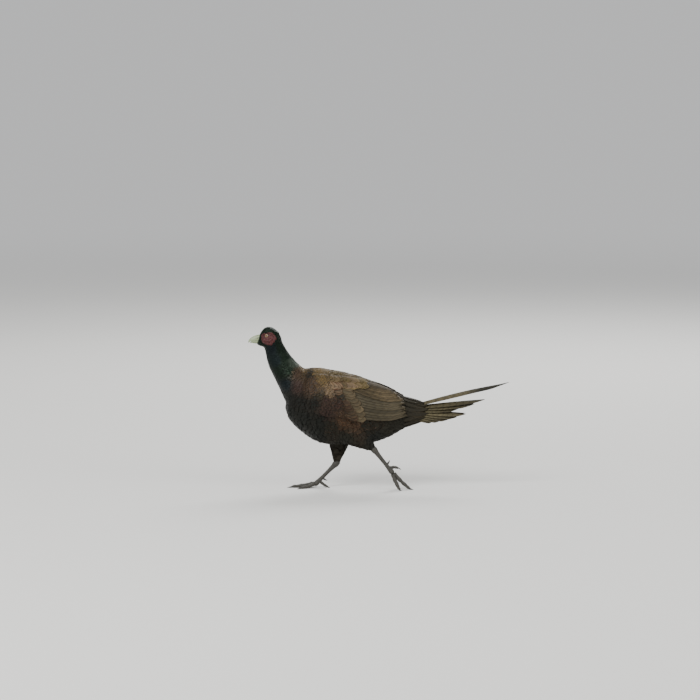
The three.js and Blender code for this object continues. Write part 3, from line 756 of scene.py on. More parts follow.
def contour_feathers(name, roots, grid_shape, slot, finish, fray=0.028):
    """A piece of contour feathers on the skin."""
    layouts = []
    steps, columns = grid_shape
    ts, across = grid_axes(steps, columns)
    for root, normal, heading, length, width in roots:
        swing = float(STRAY * random.standard_normal())
        turned = flat_on(heading + normal.cross(heading) * swing, normal)
        long = length * random.uniform(0.88, 1.12)
        wide = width * random.uniform(0.9, 1.1)
        tears = np.abs(random.standard_normal(columns + 1))
        notches = fray * (tears + 3 * (random.random(columns + 1) < DEEP_TEARS))
        points, normals = lay_on_skin(root, normal, turned, long, wide, steps, columns, notches)
        lift = RISE * long * random.uniform(0.85, 1.2)
        roll = random.uniform(-0.02, 0.02) * wide
        rises = -0.02 * long + lift * ts ** 0.85 - 0.025 * wide * across ** 2 * ts + roll * across * ts
        layouts.append((points, normals, rises))
    marks = markings_at(np.array([layout[0][-1].mean(0) for layout in layouts]))
    vanes(name, layouts, grid_shape, 0.012 * roots[0][4] + 0.05, marks, slot, finish)


def plumage_finish(name, gloss, roughness, metallic, barbs, bars=0.0, tipped=False):
    """Barbs that run out from a shaft at a slant, a fringe, a dark mark near the tip or, on tipped
    feathers, over the whole tip, and bars across. Metal in the shader gives the coloured gloss."""
    finish = Finish(name)
    local = finish.node("ShaderNodeUVMap", {"uv_map": "Vane"})
    u = finish.node("ShaderNodeSeparateXYZ", sockets={0: local})
    v = Value(finish, u.socket.node.outputs[1])
    out = abs(u - 0.5) * 2.0
    draw = finish.attribute("draw")
    wander = finish.noise(140.0)
    rim = (out ** 2.0 * 0.9 + v ** 3.0 + (wander - 0.5) * 0.45).ramp(0.80, 1.15)
    colour = finish.blend(rim, finish.attribute("tint", "Color"), finish.attribute("fringe", "Color"))
    reach = v + out * 0.5 + (wander - 0.5) * 0.4
    dark = v.ramp(0.50, 0.72) if tipped else reach.ramp(0.50, 0.66) * (1.0 - reach.ramp(0.84, 1.0))
    dark = dark * finish.attribute("mark")
    if bars:
        wave = (v * bars + out * 1.6 + draw * 6.0 + (wander - 0.5) * 4.0).sine()
        dark = dark + wave.ramp(0.2, 1.0) * 0.32 * (1.0 - dark)
    colour = finish.blend(dark * 0.85, colour, INK)
    strands = (v * barbs + out * barbs * 0.3 + draw * 10.0).sine()
    streak = finish.noise(420.0)
    colour = finish.blend((strands * 0.5 + 0.5) * 0.14 + streak * 0.2, colour, INK)
    shaft = 1.0 - out.ramp(0.02, 0.07)
    colour = finish.blend(shaft * 0.3, colour, SOOT_EDGE)
    return finish.surface(
        Base_Color=colour,
        Roughness=roughness + 0.14 * (streak - 0.5) + 0.05 * strands,
        Metallic=metallic,
        Specular_IOR_Level=0.12,
        Normal=finish.bump(strands * 0.4 + shaft * 1.5, 0.00010, 0.5),
        Coat_Weight=gloss,
        Coat_Roughness=0.42,
    )


# Bare places: the bill's root by x, lowest and highest z and half width; the face by its middle, its
# half length and height and its least y; and what the folded wing covers, by x and by girth up from
# the widest line, where the upper limit falls towards the tail
BILL_ROOT = (-188, 322, 342.5, 6.0)
FACE_HOLE = (-167.5, 334.5, 14.5, 12.5, 5)
COVERED_X = (-60, 105)
COVERED_LOW = -6
COVERED_TOP = (62, 0.28)
# The front of the covered place: girth, and x
WING_FRONT = np.array([
    (-16, 22),
    (-6, 8),
    (0, 0),
    (12, -16),
    (25, -32),
    (40, -46),
    (47, -50),
])


def bare_of_coat(hit):
    """Places without contour feathers: the bill's root, the face and what the wing covers."""
    front, low, high, beside = BILL_ROOT
    if hit.x < front and low < hit.z < high and abs(hit.y) < beside:
        return True
    x, z, long, tall, beside = FACE_HOLE
    if ((hit.x - x) / long) ** 2 + ((hit.z - z) / tall) ** 2 < 1 and abs(hit.y) > beside:
        return True
    if COVERED_X[0] < hit.x < COVERED_X[1]:
        girth = girth_of(np.array([hit]))[0]
        upper = COVERED_TOP[0] - COVERED_TOP[1] * max(0.0, hit.x)
        return COVERED_LOW < girth < upper and hit.x > np.interp(girth, *WING_FRONT.T)
    return False


ROOTS = trunk_roots(lambda hit: not bare_of_coat(hit))
head_finish = plumage_finish("head_green", 0.10, 0.42, 0.70, barbs=70.0)
neck_finish = plumage_finish("neck_green_violet", 0.10, 0.42, 0.65, barbs=110.0)
breast_finish = plumage_finish("breast_ink_copper", 0.06, 0.46, 0.45, barbs=200.0)
mantle_finish = plumage_finish("mantle_copper_gold", 0.03, 0.56, 0.10, barbs=200.0)
rear_finish = plumage_finish("belly_soot", 0.0, 0.66, 0.0, barbs=200.0)

# The tracts of the coat: a root belongs to the first one whose test it meets. The small feathers of
# the head and neck have fewer steps and columns than the broad ones of the body.
HEAD_END = 308.0
NECK_END = 224.0
NECK_LONGEST = 12.8
NECK_SIDE = (-137, 290, 0.5)
BREAST_END = -72
SIDE_TOP = 222
SIDE_END = 60
BELLY_TOP = 122
TRACTS = {
    "coat_head": (head_finish, lambda p, long: p.z > HEAD_END),
    "coat_neck_front": (neck_finish, lambda p, long: on_neck(p, long) and in_front(p)),
    "coat_neck_back": (neck_finish, lambda p, long: on_neck(p, long)),
    "coat_breast": (breast_finish, lambda p, long: p.x < BREAST_END and p.z < SIDE_TOP),
    "coat_mantle": (mantle_finish, lambda p, long: p.x < 0 and p.z >= SIDE_TOP),
    "coat_belly": (rear_finish, lambda p, long: p.z < BELLY_TOP),
    "coat_side_left": (breast_finish, lambda p, long: p.x < SIDE_END and p.y < 0 and p.z < SIDE_TOP),
    "coat_side_right": (breast_finish, lambda p, long: p.x < SIDE_END and p.z < SIDE_TOP),
    "coat_rump": (rear_finish, lambda p, long: True),
}
TRACT_GRIDS = {"coat_head": (3, 6), "coat_neck_front": (4, 6), "coat_neck_back": (4, 6)}


def on_neck(place, long):
    """Whether a root bears one of the neck's short feathers."""
    return long < NECK_LONGEST and place.z > NECK_END


def in_front(place):
    """Whether a root lies before the slanting line down the side of the neck."""
    x, z, slant = NECK_SIDE
    return place.x + slant * (place.z - z) < x


sorted_roots = {name: [] for name in TRACTS}
for entry in ROOTS:
    owner = next(name for name, (_, holds) in TRACTS.items() if holds(entry[0], entry[3]))
    sorted_roots[owner].append(entry)
for name, (finish, _) in TRACTS.items():
    slot = "head_feathers" if name in TRACT_GRIDS else "body_feathers"
    contour_feathers(name, sorted_roots[name], TRACT_GRIDS.get(name, (6, 12)), slot, finish)

# The thighs: soft black-brown feathers that run down to the hock and end just over it. They are
# rooted in the skin of the thigh, from the hock up, and their tips are more frayed than the body's.
# Joints of the legs, with how far from the thigh's middle line a root may lie
LEGS = {
    "left": dict(side=-1, hip=(17, -27, 129), reach=33, hock=(63, -20, 91), ball=(103, -18, 40)),
    "right": dict(side=1, hip=(-10, 27, 130), reach=36, hock=(-19, 19, 54), ball=(-64, 16, 9)),
}
THIGH_FEATHER = (16.0, 7.5)
THIGH_ROW_STEP = 0.25
THIGH_TOP = 128
THIGH_RINGS = 60
THIGH_RAYS = 40
thigh_finish = plumage_finish("thigh_black_brown", 0.0, 0.68, 0.0, barbs=120.0)


def thigh_roots(leg):
    """Roots round one thigh from the hock up, where it stands out of the belly."""
    hip, hock = Vector(leg["hip"]), Vector(leg["hock"])
    down = (hock - hip).normalized()
    spread = Spread()
    found = []
    first = down.orthogonal().normalized()
    second = down.cross(first)
    for share in np.linspace(1.02, 0.1, THIGH_RINGS):
        origin = hip + (hock - hip) * float(share)
        for k in range(THIGH_RAYS):
            turn = 2 * math.pi * k / THIGH_RAYS
            ray = first * math.cos(turn) + second * math.sin(turn)
            hit, normal, _, distance = SURFACE.ray_cast(origin, ray)
            if hit is None or distance > leg["reach"] or hit.z > THIGH_TOP:
                continue
            length = THIGH_FEATHER[0] * (1.15 - 0.5 * share)
            laid = flat_on(down, normal)
            if spread.accepts(hit, laid, THIGH_ROW_STEP * length, SIDE_STEP * THIGH_FEATHER[1]):
                found.append((hit, normal, laid, length, THIGH_FEATHER[1] * (1.1 - 0.4 * share)))
    return found


for word, leg in LEGS.items():
    contour_feathers(
        f"coat_thigh_{word}", thigh_roots(leg), (4, 8), "thigh_feathers", thigh_finish, fray=0.10)

# The folded wings: flight feathers below, then coverts in tiers like tiles, and the scapulars over
# their inner ends. Each feather is rooted in the arm and lies along the hull of the folded wing.
COVERT_GREY = (0.086, 0.066, 0.037)
COVERT_EDGE = (0.118, 0.085, 0.048)
QUILL_BROWN = (0.068, 0.056, 0.034)
QUILL_EDGE = (0.104, 0.083, 0.050)
TERTIAL_BROWN = (0.078, 0.058, 0.031)
TERTIAL_EDGE = (0.135, 0.100, 0.056)
BARRED_FRAY = 0.012
COVERT_FRAY = 0.035
# Each row of a wing from its lowest feather to its highest: the two ends of the line of roots as x and
# girth, length and heading at both ends, and the feathers' width, lift, pitch and roll on the hull.
# A row without colours of its own takes the markings of its place.
WING_ROWS = {
    "primaries": dict(
        count=5, roots=((42, -5), (46, 8)), length=(95, 88), width=11, heading=(1.5, 0), lift=-0.4,
        pitch=0, roll=0.25, colours=(QUILL_BROWN, QUILL_EDGE, 0.3), barred=True),
    "secondaries": dict(
        count=10, roots=((16, -8), (-4, 45)), length=(117, 134), width=13, heading=(2.0, -6.5), lift=1.0,
        pitch=0.012, roll=0.16, colours=(QUILL_BROWN, QUILL_EDGE, 0.2), barred=True),
    "tertials": dict(
        count=6, roots=((-4, 48), (-8, 70)), length=(137, 116), width=20, heading=(-8.5, -9), lift=1.2,
        pitch=0.018, roll=0.12, colours=(TERTIAL_BROWN, TERTIAL_EDGE, 0.3), barred=True),
    "greater_coverts": dict(
        count=11, roots=((16, -11), (-26, 47)), length=(32, 46), width=13.5, heading=(-2, -8), lift=1.6,
        pitch=0.07, roll=0.13, colours=(COVERT_GREY, COVERT_EDGE, 0.3), barred=False),
    "median_coverts": dict(
        count=11, roots=((4, -11), (-46, 47)), length=(27, 36), width=13, heading=(-3, -9), lift=1.2,
        pitch=0.10, roll=0.12, colours=None, barred=False),
    "lower_scapulars": dict(
        count=12, roots=((-64, 48), (12, 60)), length=(34, 44), width=17, heading=(-14, -12), lift=1.8,
        pitch=0.09, roll=0.09, colours=None, barred=False),
    "upper_scapulars": dict(
        count=12, roots=((-74, 62), (8, 70)), length=(30, 42), width=17, heading=(-13, -12), lift=0.8,
        pitch=0.09, roll=0.06, colours=None, barred=False),
}


def hull_vane(side, row, share, grid_shape, fray):
    """One feather of a row on the hull, as a layout for vanes()."""
    ts, across = grid_axes(*grid_shape)
    shape = (ts.size, across.size)
    x0, girth0 = np.array(row["roots"][0]) * (1 - share) + np.array(row["roots"][1]) * share
    loose = 1.0 if row["barred"] else 3.0
    x0 += loose * random.uniform(-0.7, 0.7)
    length = np.interp(share, (0, 1), row["length"]) * (1 + loose * random.uniform(-0.035, 0.035))
    heading = math.radians(np.interp(share, (0, 1), row["heading"]) + loose * random.uniform(-0.8, 0.8))
    wide, reach = vane_outline(ts, across, tip=0.16)
    notches = fray * np.abs(random.standard_normal(across.size))[None]
    out = (reach - notches * ts ** 6) * length
    aside = across * wide * row["width"] / 2
    x = (x0 + out * math.cos(heading) - aside * math.sin(heading)).ravel()
    girth = (girth0 + out * math.sin(heading) + aside * math.cos(heading)).ravel()
    lift = row["lift"] + row["pitch"] * out - row["roll"] * aside
    lift = (lift - 0.012 * row["width"] * across ** 2 * 2).ravel()
    points = on_hull(side, x, girth, lift)
    normals = on_hull(side, x, girth, lift + 1) - points
    shaft = 0.25 * (1 - np.minimum(1, np.abs(across) * 6)) * (1 - ts)
    rises = shaft + 0.06 * random.standard_normal(shape) * ts
    return points.reshape(*shape, 3), normals.reshape(*shape, 3), rises


def even_marks(colours, count):
    """The same three marks for each of a row's feathers."""
    middle, fringe, mark = colours
    return np.tile(middle, (count, 1)), np.tile(fringe, (count, 1)), np.full(count, mark)


flight_finish = plumage_finish("flight_barred", 0.0, 0.64, 0.0, barbs=700.0, bars=42.0)
covert_finish = plumage_finish("covert_plain", 0.0, 0.64, 0.0, barbs=320.0)
WING_GRID = (14, 10)
for side, word in SIDES:
    for row_name, row in WING_ROWS.items():
        finish, fray = (flight_finish, BARRED_FRAY) if row["barred"] else (covert_finish, COVERT_FRAY)
        shares = np.linspace(0, 1, row["count"])
        layouts = [hull_vane(side, row, share, WING_GRID, fray) for share in shares]
        if row["colours"]:
            marks = even_marks(row["colours"], len(layouts))
        else:
            marks = markings_at(np.array([layout[0][-4].mean(0) for layout in layouts]))
            marks = (*marks[:2], marks[2] * random.uniform(0.2, 1.1, len(layouts)))
        nodes = [f"wing_{word}"] if row_name == "secondaries" else []
        vanes(f"{row_name}_{word}", layouts, WING_GRID, 0.35, marks, "wing_feathers", finish, *nodes)

# The tail: nine pairs of pointed feathers folded like a roof, the middle pair long and dark at the
# tip, with short coverts round their roots that bend from the body's surface into line with them.
# Each pair from the middle outwards: length, and the angle it rises at from its root and at its tip
TAIL_PAIRS = (
    (220, 17, 10),
    (162, 7, 4),
    (139, 4, 2.5),
    (104, 1, -1),
    (122, -3.5, -5),
    (104, -6.5, -8),
    (88, -9, -11),
    (72, -12, -13),
    (57, -15, -14),
)
TAIL_AT = np.array([148, -0.7, 186])
TAIL_STEP = np.array([-0.8, 0.25, -2.3])
TAIL_FOLD = dict(roll=(36, 58), splay=(0.2, 7.4), width=(17, 15), taper=(0.34, 0.25))
TAIL_GRID = (30, 8)
TAIL_COVERT_GRID = (8, 8)
TAIL_BUFF = (0.098, 0.082, 0.045)
TAIL_RIM = (0.026, 0.019, 0.012)
# Rings of coverts: x, count on each side, length, width, and how far they are set off round the root
COVERT_RINGS = (
    (126, 8, 42, 16, 0.0),
    (134, 8, 42, 14, 0.5),
    (142, 6, 42, 12, 0.2),
)
COVERT_ARC = 82


def free_vane(at, side, rise, splay, roll, length, width, taper):
    """A tail feather on its own path, rising from one angle to another, splayed and rolled."""
    ts, across = grid_axes(*TAIL_GRID)
    wide, reach = vane_outline(ts, across, root=0.5, tip=0.10, taper=taper)
    wide = wide * np.sqrt(np.clip(1 - np.clip((ts - 0.86) / 0.15, 0, 1) ** 2, 0.02, 1))
    half = width / 2 * wide
    aside = across * half + half
    yaw, tilt = math.radians(splay), math.radians(roll)
    slope = np.radians(rise[0] + 0.5 * (rise[1] - rise[0]) * ts)
    ahead = (np.cos(slope) * math.cos(yaw), math.sin(yaw), np.sin(slope) * math.cos(yaw))
    forward = np.stack(np.broadcast_arrays(*ahead), -1)
    sideways = np.array([0, math.cos(tilt), -math.sin(tilt)])
    normal = unit(np.stack(np.broadcast_arrays(-np.sin(slope), math.sin(tilt), math.cos(tilt)), -1))
    points = at + forward * (reach * length)[..., None] + sideways * aside[..., None]
    normals = np.broadcast_to(normal, points.shape)
    flip = (1, side, 1)
    rises = 0.3 + 0.3 * (1 - np.minimum(1, np.abs(across) * 5)) * (1 - ts) - 0.02 * width * across ** 2
    ripple = 0.05 * random.standard_normal((ts.size, across.size)) * ts
    return points * flip, normals * flip, rises + ripple


def tail_pairs():
    """All tail feathers, the longest last."""
    last = len(TAIL_PAIRS) - 1
    for k in range(last, -1, -1):
        length, *rise = TAIL_PAIRS[k]
        fold = {name: np.interp(k / last, (0, 1), ends) for name, ends in TAIL_FOLD.items()}
        for side in (-1, 1):
            yield free_vane(TAIL_AT + k * TAIL_STEP, side, rise, length=length, **fold)


def root_section(x, turn, lift):
    """A point on the tail root at x, a turn round it from its side, and lift off it."""
    _, top, low, wide = along(TAIL_ROOT, x)[0]
    tall = (top - low) / 2 + lift
    return np.array([x, (wide + lift) * math.cos(turn), (top + low) / 2 + tall * math.sin(turn)])


def tail_coverts():
    """Rings of coverts round the tail root, from the last ring forwards."""
    ts, across = grid_axes(*TAIL_COVERT_GRID)
    wide, reach = vane_outline(ts, across, tip=0.2, taper=0.25)
    path = reach[..., None]
    for x0, count, length, width, offset in COVERT_RINGS[::-1]:
        for side in (-1, 1):
            for k in range(count):
                turn = math.radians(COVERT_ARC - 2 * COVERT_ARC * (k + offset * 0.5) / (count - 0.5))
                outward = np.array([0, math.cos(turn), math.sin(turn)])
                sideways = np.array([0, -math.sin(turn), math.cos(turn)])
                start = root_section(x0, turn, -2.0)
                bend = root_section(x0 + 0.4 * length, turn, 1.0)
                end = bend + length * np.array([0.6, -0.24 * outward[1], 0.05 - 0.22 * outward[2]])
                points = (1 - path) ** 2 * start + 2 * path * (1 - path) * bend + path ** 2 * end
                aside = across * wide * width / 2
                points = points + sideways * aside[..., None]
                rises = 0.1 * random.standard_normal() - 0.014 * aside ** 2
                flip = (1, side, 1)
                yield points * flip, np.broadcast_to(outward, points.shape) * flip, rises


tail_finish = plumage_finish("tail_barred", 0.0, 0.6, 0.0, barbs=1100.0, bars=70.0, tipped=True)
layouts = list(tail_pairs())
marks = even_marks((TAIL_BUFF, TAIL_RIM, 0.35), len(layouts))
marks[2][-2:] = 1.0
vanes("tail_feathers", layouts, TAIL_GRID, 0.4, marks, "tail_feathers", tail_finish, "tail")
layouts = list(tail_coverts())
marks = even_marks((SOOT_EDGE, UMBER, 0.2), len(layouts))
vanes("tail_coverts", layouts, TAIL_COVERT_GRID, 0.3, marks, "tail_feathers", rear_finish)

# The face: bare red skin round the eye, thick and folded, set with small round bumps, with a rim
# of lid about the eye. It is rooted in the head and stands a little over the feathers.
EYE_AT = np.array([-171.5, 12.6, 341.0])
EYE_RADIUS = 5.2
FACE_MIDDLE = (-167.5, 335.5)
FACE_LONG = 16.5
FACE_TALL = 14.0
FACE_THICK = 2.3
FACE_BASE = 3.5
FACE_FOLD = 0.42
FACE_CREASE = 0.25
WARTS = 620
EYE_OPENING = (4.6, 4.3)
LID_RING = 4.75
GOLDEN_TURN = 2.39996
FACE_RED = (0.100, 0.011, 0.010)
FACE_DEEP = (0.032, 0.004, 0.005)
LID_PINK = (0.080, 0.022, 0.019)


def side_of_head(side, x, z):
    """The point of the head's skin at x and z, and its normal."""
    hit, normal, _, _ = SURFACE.ray_cast(Vector((x, side * 60, z)), Vector((0, -side, 0)))
    if hit is None:
        hit, normal, _, _ = SURFACE.find_nearest(Vector((x, side * 15, z)))
    return np.array(hit), np.array(normal)


def face_outline(turn):
    """The point x, z of the face's lobed outline at a turn round it."""
    lobe = 1 + 0.05 * math.cos(5 * turn) + 0.025 * math.cos(11 * turn + 1)
    below = max(0.0, -math.sin(turn))
    above = max(0.0, math.sin(turn))
    tall = FACE_TALL * lobe * (1 + 0.16 * below - 0.1 * above)
    return FACE_MIDDLE[0] + FACE_LONG * lobe * math.cos(turn), FACE_MIDDLE[1] + tall * math.sin(turn)


def face_patch(side, rings=34, sides=110):
    """The red skin as rings from the lid out to its rim, over a sunk base."""
    out = []
    for i in range(rings + 1):
        share = i / rings
        ring = []
        for j in range(sides):
            turn = 2 * math.pi * j / sides
            far = face_outline(turn)
            x = (EYE_AT[0] + EYE_OPENING[0] * math.cos(turn)) * (1 - share) + far[0] * share
            z = (EYE_AT[2] + EYE_OPENING[1] * math.sin(turn)) * (1 - share) + far[1] * share
            base, normal = side_of_head(side, x, z)
            fold = FACE_FOLD * math.sin(19 * share + 0.7 * math.sin(3 * turn)) * math.sin(math.pi * share)
            crease = FACE_CREASE * math.cos(9 * turn + 5 * share) * share * (1 - share) * 4
            rim = min(1.0, (1 - share) * 7) ** 0.5
            thick = -1.2 + (FACE_THICK + 1.2) * rim + (fold + crease) * rim
            eye_gap = abs(EYE_AT[1] + 2.6 - abs(base[1])) * max(0.0, 1 - 5 * share)
            point = base + normal * thick
            point[1] = side * (abs(point[1]) + 0.5 * eye_gap)
            ring.append(point)
        out.append(ring)
    outer = np.array(out)
    inner = outer - (0, side * FACE_BASE, 0)
    return np.concatenate([inner[:1], outer, inner[-1:]])


def warts(side):
    """Small domes over the red skin, closer together round the eye."""
    domes, faces = [], []
    ring = [(math.cos(t), math.sin(t)) for t in circle(8)]
    for k in range(WARTS):
        share = math.sqrt((k + 0.5) / WARTS) * 0.93
        turn = k * GOLDEN_TURN
        if share < 0.12:
            continue
        far = face_outline(turn)
        x = EYE_AT[0] + (far[0] - EYE_AT[0]) * (0.28 + 0.70 * share)
        z = EYE_AT[2] + (far[1] - EYE_AT[2]) * (0.28 + 0.70 * share)
        base, normal = side_of_head(side, x, z)
        middle = base + normal * (FACE_THICK - 0.15)
        aside = unit(np.cross(normal, (0, 0, 1.0)))
        up = np.cross(aside, normal)
        size = random.uniform(0.38, 0.62)
        first = len(domes)
        for level, (spread, height) in enumerate(((1.0, -0.3), (0.8, 0.45), (0.42, 0.8))):
            domes += [middle + size * (spread * (a * aside + b * up) + height * normal) for a, b in ring]
            if level:
                low = first + 8 * (level - 1)
                around = ((low + j, low + (j + 1) % 8) for j in range(8))
                faces += [(a, b, b + 8, a + 8) for a, b in around]
        faces.append(tuple(range(first + 16, first + 24)))
        faces.append(tuple(reversed(range(first, first + 8))))
    return np.array(domes), faces


def lid_ring(side, sides=48, tube=12):
    """The rim of the lids: a soft ring, drawn out a little at both corners of the eye."""
    rings = []
    for j in range(sides):
        turn = 2 * math.pi * j / sides
        corner = 1 + 0.10 * abs(math.cos(turn)) ** 6
        out = np.array([math.cos(turn), 0, math.sin(turn)])
        middle = EYE_AT * (1, side, 1) + out * LID_RING * corner * (1, 1, 0.93) + (0, side * 3.0, 0)
        fold = 0.72 + 0.06 * math.cos(14 * turn)
        rings.append([
            middle + fold * (out * math.cos(a) + np.array([0, side * 1.1, 0]) * math.sin(a))
            for a in circle(tube)
        ])
    points = np.array(rings).reshape(-1, 3)
    faces = []
    for i in range(sides):
        here, there = i * tube, (i + 1) % sides * tube
        for j in range(tube):
            beside = (j + 1) % tube
            faces.append((here + j, here + beside, there + beside, there + j))
    return points, faces


def face_finish():
    """Matt wet-looking red skin, deeper red in a fine net of cells and in patches, flecked with tiny dark
    feather tips.
    """
    finish = Finish("face_red")
    cells = finish.cells(900.0)
    flecks = 1.0 - finish.cells(420.0).ramp(0.10, 0.16)
    patch = finish.noise(160.0)
    red = finish.blend(cells.ramp(0.1, 0.8) * 0.7 + patch * 0.3, FACE_RED, FACE_DEEP)
    return finish.surface(
        Base_Color=finish.blend(flecks * patch.ramp(0.45, 0.6) * 0.8, red, INK),
        Roughness=0.48 + 0.2 * cells,
        Normal=finish.bump(cells, 0.0003, 0.8),
        Subsurface_Weight=0.12,
        Subsurface_Radius=(0.004, 0.001, 0.0006),
    )


def lid_finish():
    """Thin pinkish skin, finely wrinkled."""
    finish = Finish("lid")
    wrinkle = finish.noise(1200.0)
    return finish.surface(
        Base_Color=finish.blend(wrinkle, FACE_DEEP, LID_PINK),
        Roughness=0.4 + 0.2 * wrinkle,
        Normal=finish.bump(wrinkle, 0.0002),
    )


red_skin = face_finish()
lid_skin = lid_finish()
for side, word in SIDES:
    dress(piece(f"face_{word}", *rings_mesh(face_patch(side))), red_skin, "face_skin", f"wattle_{word}")
    dress(piece(f"face_bumps_{word}", *warts(side)), red_skin, "face_skin")
    dress(piece(f"lids_{word}", *lid_ring(side)), lid_skin, "face_skin")

# The eyes: wet globes with a black pupil, a yellow-brown iris and a dark ring where it ends. They
# sit in the opening of the red skin, look outwards and a little forwards, and bulge at the pupil.
EYE_FACING = Vector((-0.16, 1.0, 0.05)).normalized()
PUPIL = 1.75
IRIS = 3.7
IRIS_AMBER = (0.28, 0.145, 0.040)
IRIS_BROWN = (0.15, 0.066, 0.018)
IRIS_RING = (0.010, 0.006, 0.005)
PUPIL_BLACK = (0.002, 0.002, 0.002)


def eye_finish(side):
    """Pupil, iris and ring by the distance from the axis of sight."""
    finish = Finish("eye_globe")
    middle = Vector(in_metres(EYE_AT * (1, side, 1)))
    axis = Vector((EYE_FACING.x, side * EYE_FACING.y, EYE_FACING.z))
    offset = finish.vector("SUBTRACT", finish.place(), middle)
    off = finish.vector("LENGTH", finish.vector("CROSS_PRODUCT", offset, axis), output=1) * 1000.0
    iris = finish.blend(finish.noise(2600.0), IRIS_AMBER, IRIS_BROWN)
    ringed = finish.blend(off.ramp(IRIS - 0.5, IRIS), iris, IRIS_RING)
    return finish.surface(
        Base_Color=finish.blend(1.0 - off.ramp(PUPIL - 0.15, PUPIL + 0.1), ringed, PUPIL_BLACK),
        Roughness=0.06,
        Coat_Weight=1.0,
        Coat_Roughness=0.02,
    )


for side, word in SIDES:
    rings = []
    axis = np.array(EYE_FACING) * (1, side, 1)
    first = unit(np.cross(axis, (0, 0, 1.0)))
    second = np.cross(axis, first)
    for polar in np.linspace(math.pi - 0.05, 0.05, 30):
        bulge = 0.35 * math.exp(-(polar / 0.6) ** 2)
        centre = EYE_AT * (1, side, 1) + axis * (EYE_RADIUS * math.cos(polar) + bulge)
        reach = EYE_RADIUS * math.sin(polar)
        rings.append([
            centre + reach * (first * math.cos(t) + second * math.sin(t))
            for t in circle(40)
        ])
    dress(piece(f"globe_{word}", *rings_mesh(rings)), eye_finish(side), "eye", f"eye_{word}")

# The bill: two halves of horn that meet on the mouth line, the upper one arched and hooked, with a
# nostril on each side under a swollen lid, and pale towards the tip.
# Sections of the halves from the root to the tip: x, the mouth line, height from it and half width
UPPER_BILL = (
    (-180, 331, 11.6, 7.0),
    (-190, 330.6, 10.8, 6.1),
    (-197, 330, 9.8, 5.2),
    (-203, 329.2, 8.0, 4.2),
    (-208, 327.8, 6.0, 2.9),
    (-211.5, 325.6, 4.2, 1.6),
    (-213, 323.8, 2.6, 0.5),
)
LOWER_BILL = (
    (-180, 329.4, 7, 6.2),
    (-190, 329, 6.6, 5.3),
    (-198, 328.4, 5.6, 4.2),
    (-204, 327.4, 3.8, 3.0),
    (-208.5, 325.4, 1.6, 1.4),
)
NOSTRIL = (-192.5, 4.6, 335.2)
NOSTRIL_TURN = 0.16
# Where the horn turns dark towards its root, in millimetres of the frame's own x
HORN_DARKENS = (-275.0, -252.0)
HORN_PALE = (0.330, 0.400, 0.235)
HORN_DARK = (0.140, 0.150, 0.090)


def bill_half(rows, arch, rings=36, sides=40):
    """Half a bill, flat on the mouth line, arched up with arch 1 and down with arch -1."""
    out = []
    for x, line, tall, wide in sections(rows[::-1], rings):
        ring = []
        for turn in circle(sides):
            level = arch * math.sin(turn)
            ridge = 1 + 0.06 * max(0.0, arch * level) ** 8
            height = level * tall * ridge * (1 if level * arch > 0 else 0.16)
            aside = wide * math.cos(turn) * (1 - 0.12 * abs(math.sin(turn)) ** 3)
            ring.append((x, aside, line + height))
        out.append(ring)
    return out


def egg(middle, half, turn, rings=14, sides=20):
    """A closed egg with three half axes, tipped in the side view."""
    out = []
    for polar in np.linspace(0.06, math.pi - 0.06, rings):
        t = circle(sides)
        x = half[0] * math.cos(polar)
        y = half[1] * math.sin(polar) * np.cos(t)
        z = half[2] * math.sin(polar) * np.sin(t)
        ring = (x * math.cos(turn) - z * math.sin(turn), y, x * math.sin(turn) + z * math.cos(turn))
        out.append(np.stack(ring, 1) + middle)
    return out


def horn_finish(name, dark):
    """Smooth horn with faint growth lines, darker towards its root."""
    finish = Finish(name)
    x = finish.node("ShaderNodeSeparateXYZ", sockets={0: finish.place()})
    root = (x * 1000.0).ramp(*HORN_DARKENS)
    cloud = finish.noise(260.0)
    drawn_out = finish.node("ShaderNodeMapping", sockets={0: finish.place(), 3: (1.0, 6.0, 22.0)})
    lines = finish.noise(60.0, vector=drawn_out)
    pale = finish.blend(cloud * 0.35 + root * 0.45 + dark, HORN_PALE, HORN_DARK)
    return finish.surface(
        Base_Color=finish.blend(lines * 0.25, pale, HORN_DARK),
        Roughness=0.36 + 0.15 * cloud,
        Normal=finish.bump(lines, 0.0002, 0.5),
        Subsurface_Weight=0.08,
        Subsurface_Radius=(0.003, 0.002, 0.001),
    )


bill_finish = horn_finish("bill_horn", 0.0)
nostril_finish = horn_finish("nostril_dark", 0.75)
for node, rows, arch in (("bill_upper", UPPER_BILL, 1), ("bill_lower", LOWER_BILL, -1)):
    dress(piece(f"horn_{node}", *rings_mesh(bill_half(rows, arch))), bill_finish, "bill", node)
for side, word in SIDES:
    for name, half, drop, finish in (
        ("nostril_lid", (3.7, 1.7, 1.5), 0.0, bill_finish),
        ("nostril_slit", (2.9, 1.35, 0.75), -1.45, nostril_finish),
    ):
        middle = (NOSTRIL[0], side * NOSTRIL[1], NOSTRIL[2] + drop)
        dress(piece(f"{name}_{word}", *rings_mesh(egg(middle, half, NOSTRIL_TURN))), finish, "bill")

# The legs below the thigh: a shank and four toes in horny scales, broad plates down the front and
# over each toe and small ones behind. The toes swell at their pads, and end in smooth dark claws.
# The shank: share of the way from the hock to the ball of the foot, half depth and half width
SHANK = (
    (-0.10, 5.6, 4.6),
    (0.04, 7.0, 5.8),
    (0.16, 5.3, 4.3),
    (0.40, 4.2, 3.5),
    (0.70, 4.1, 3.6),
    (0.88, 4.9, 4.9),
    (1.00, 5.5, 6.3),
    (1.08, 3.6, 4.6),
)
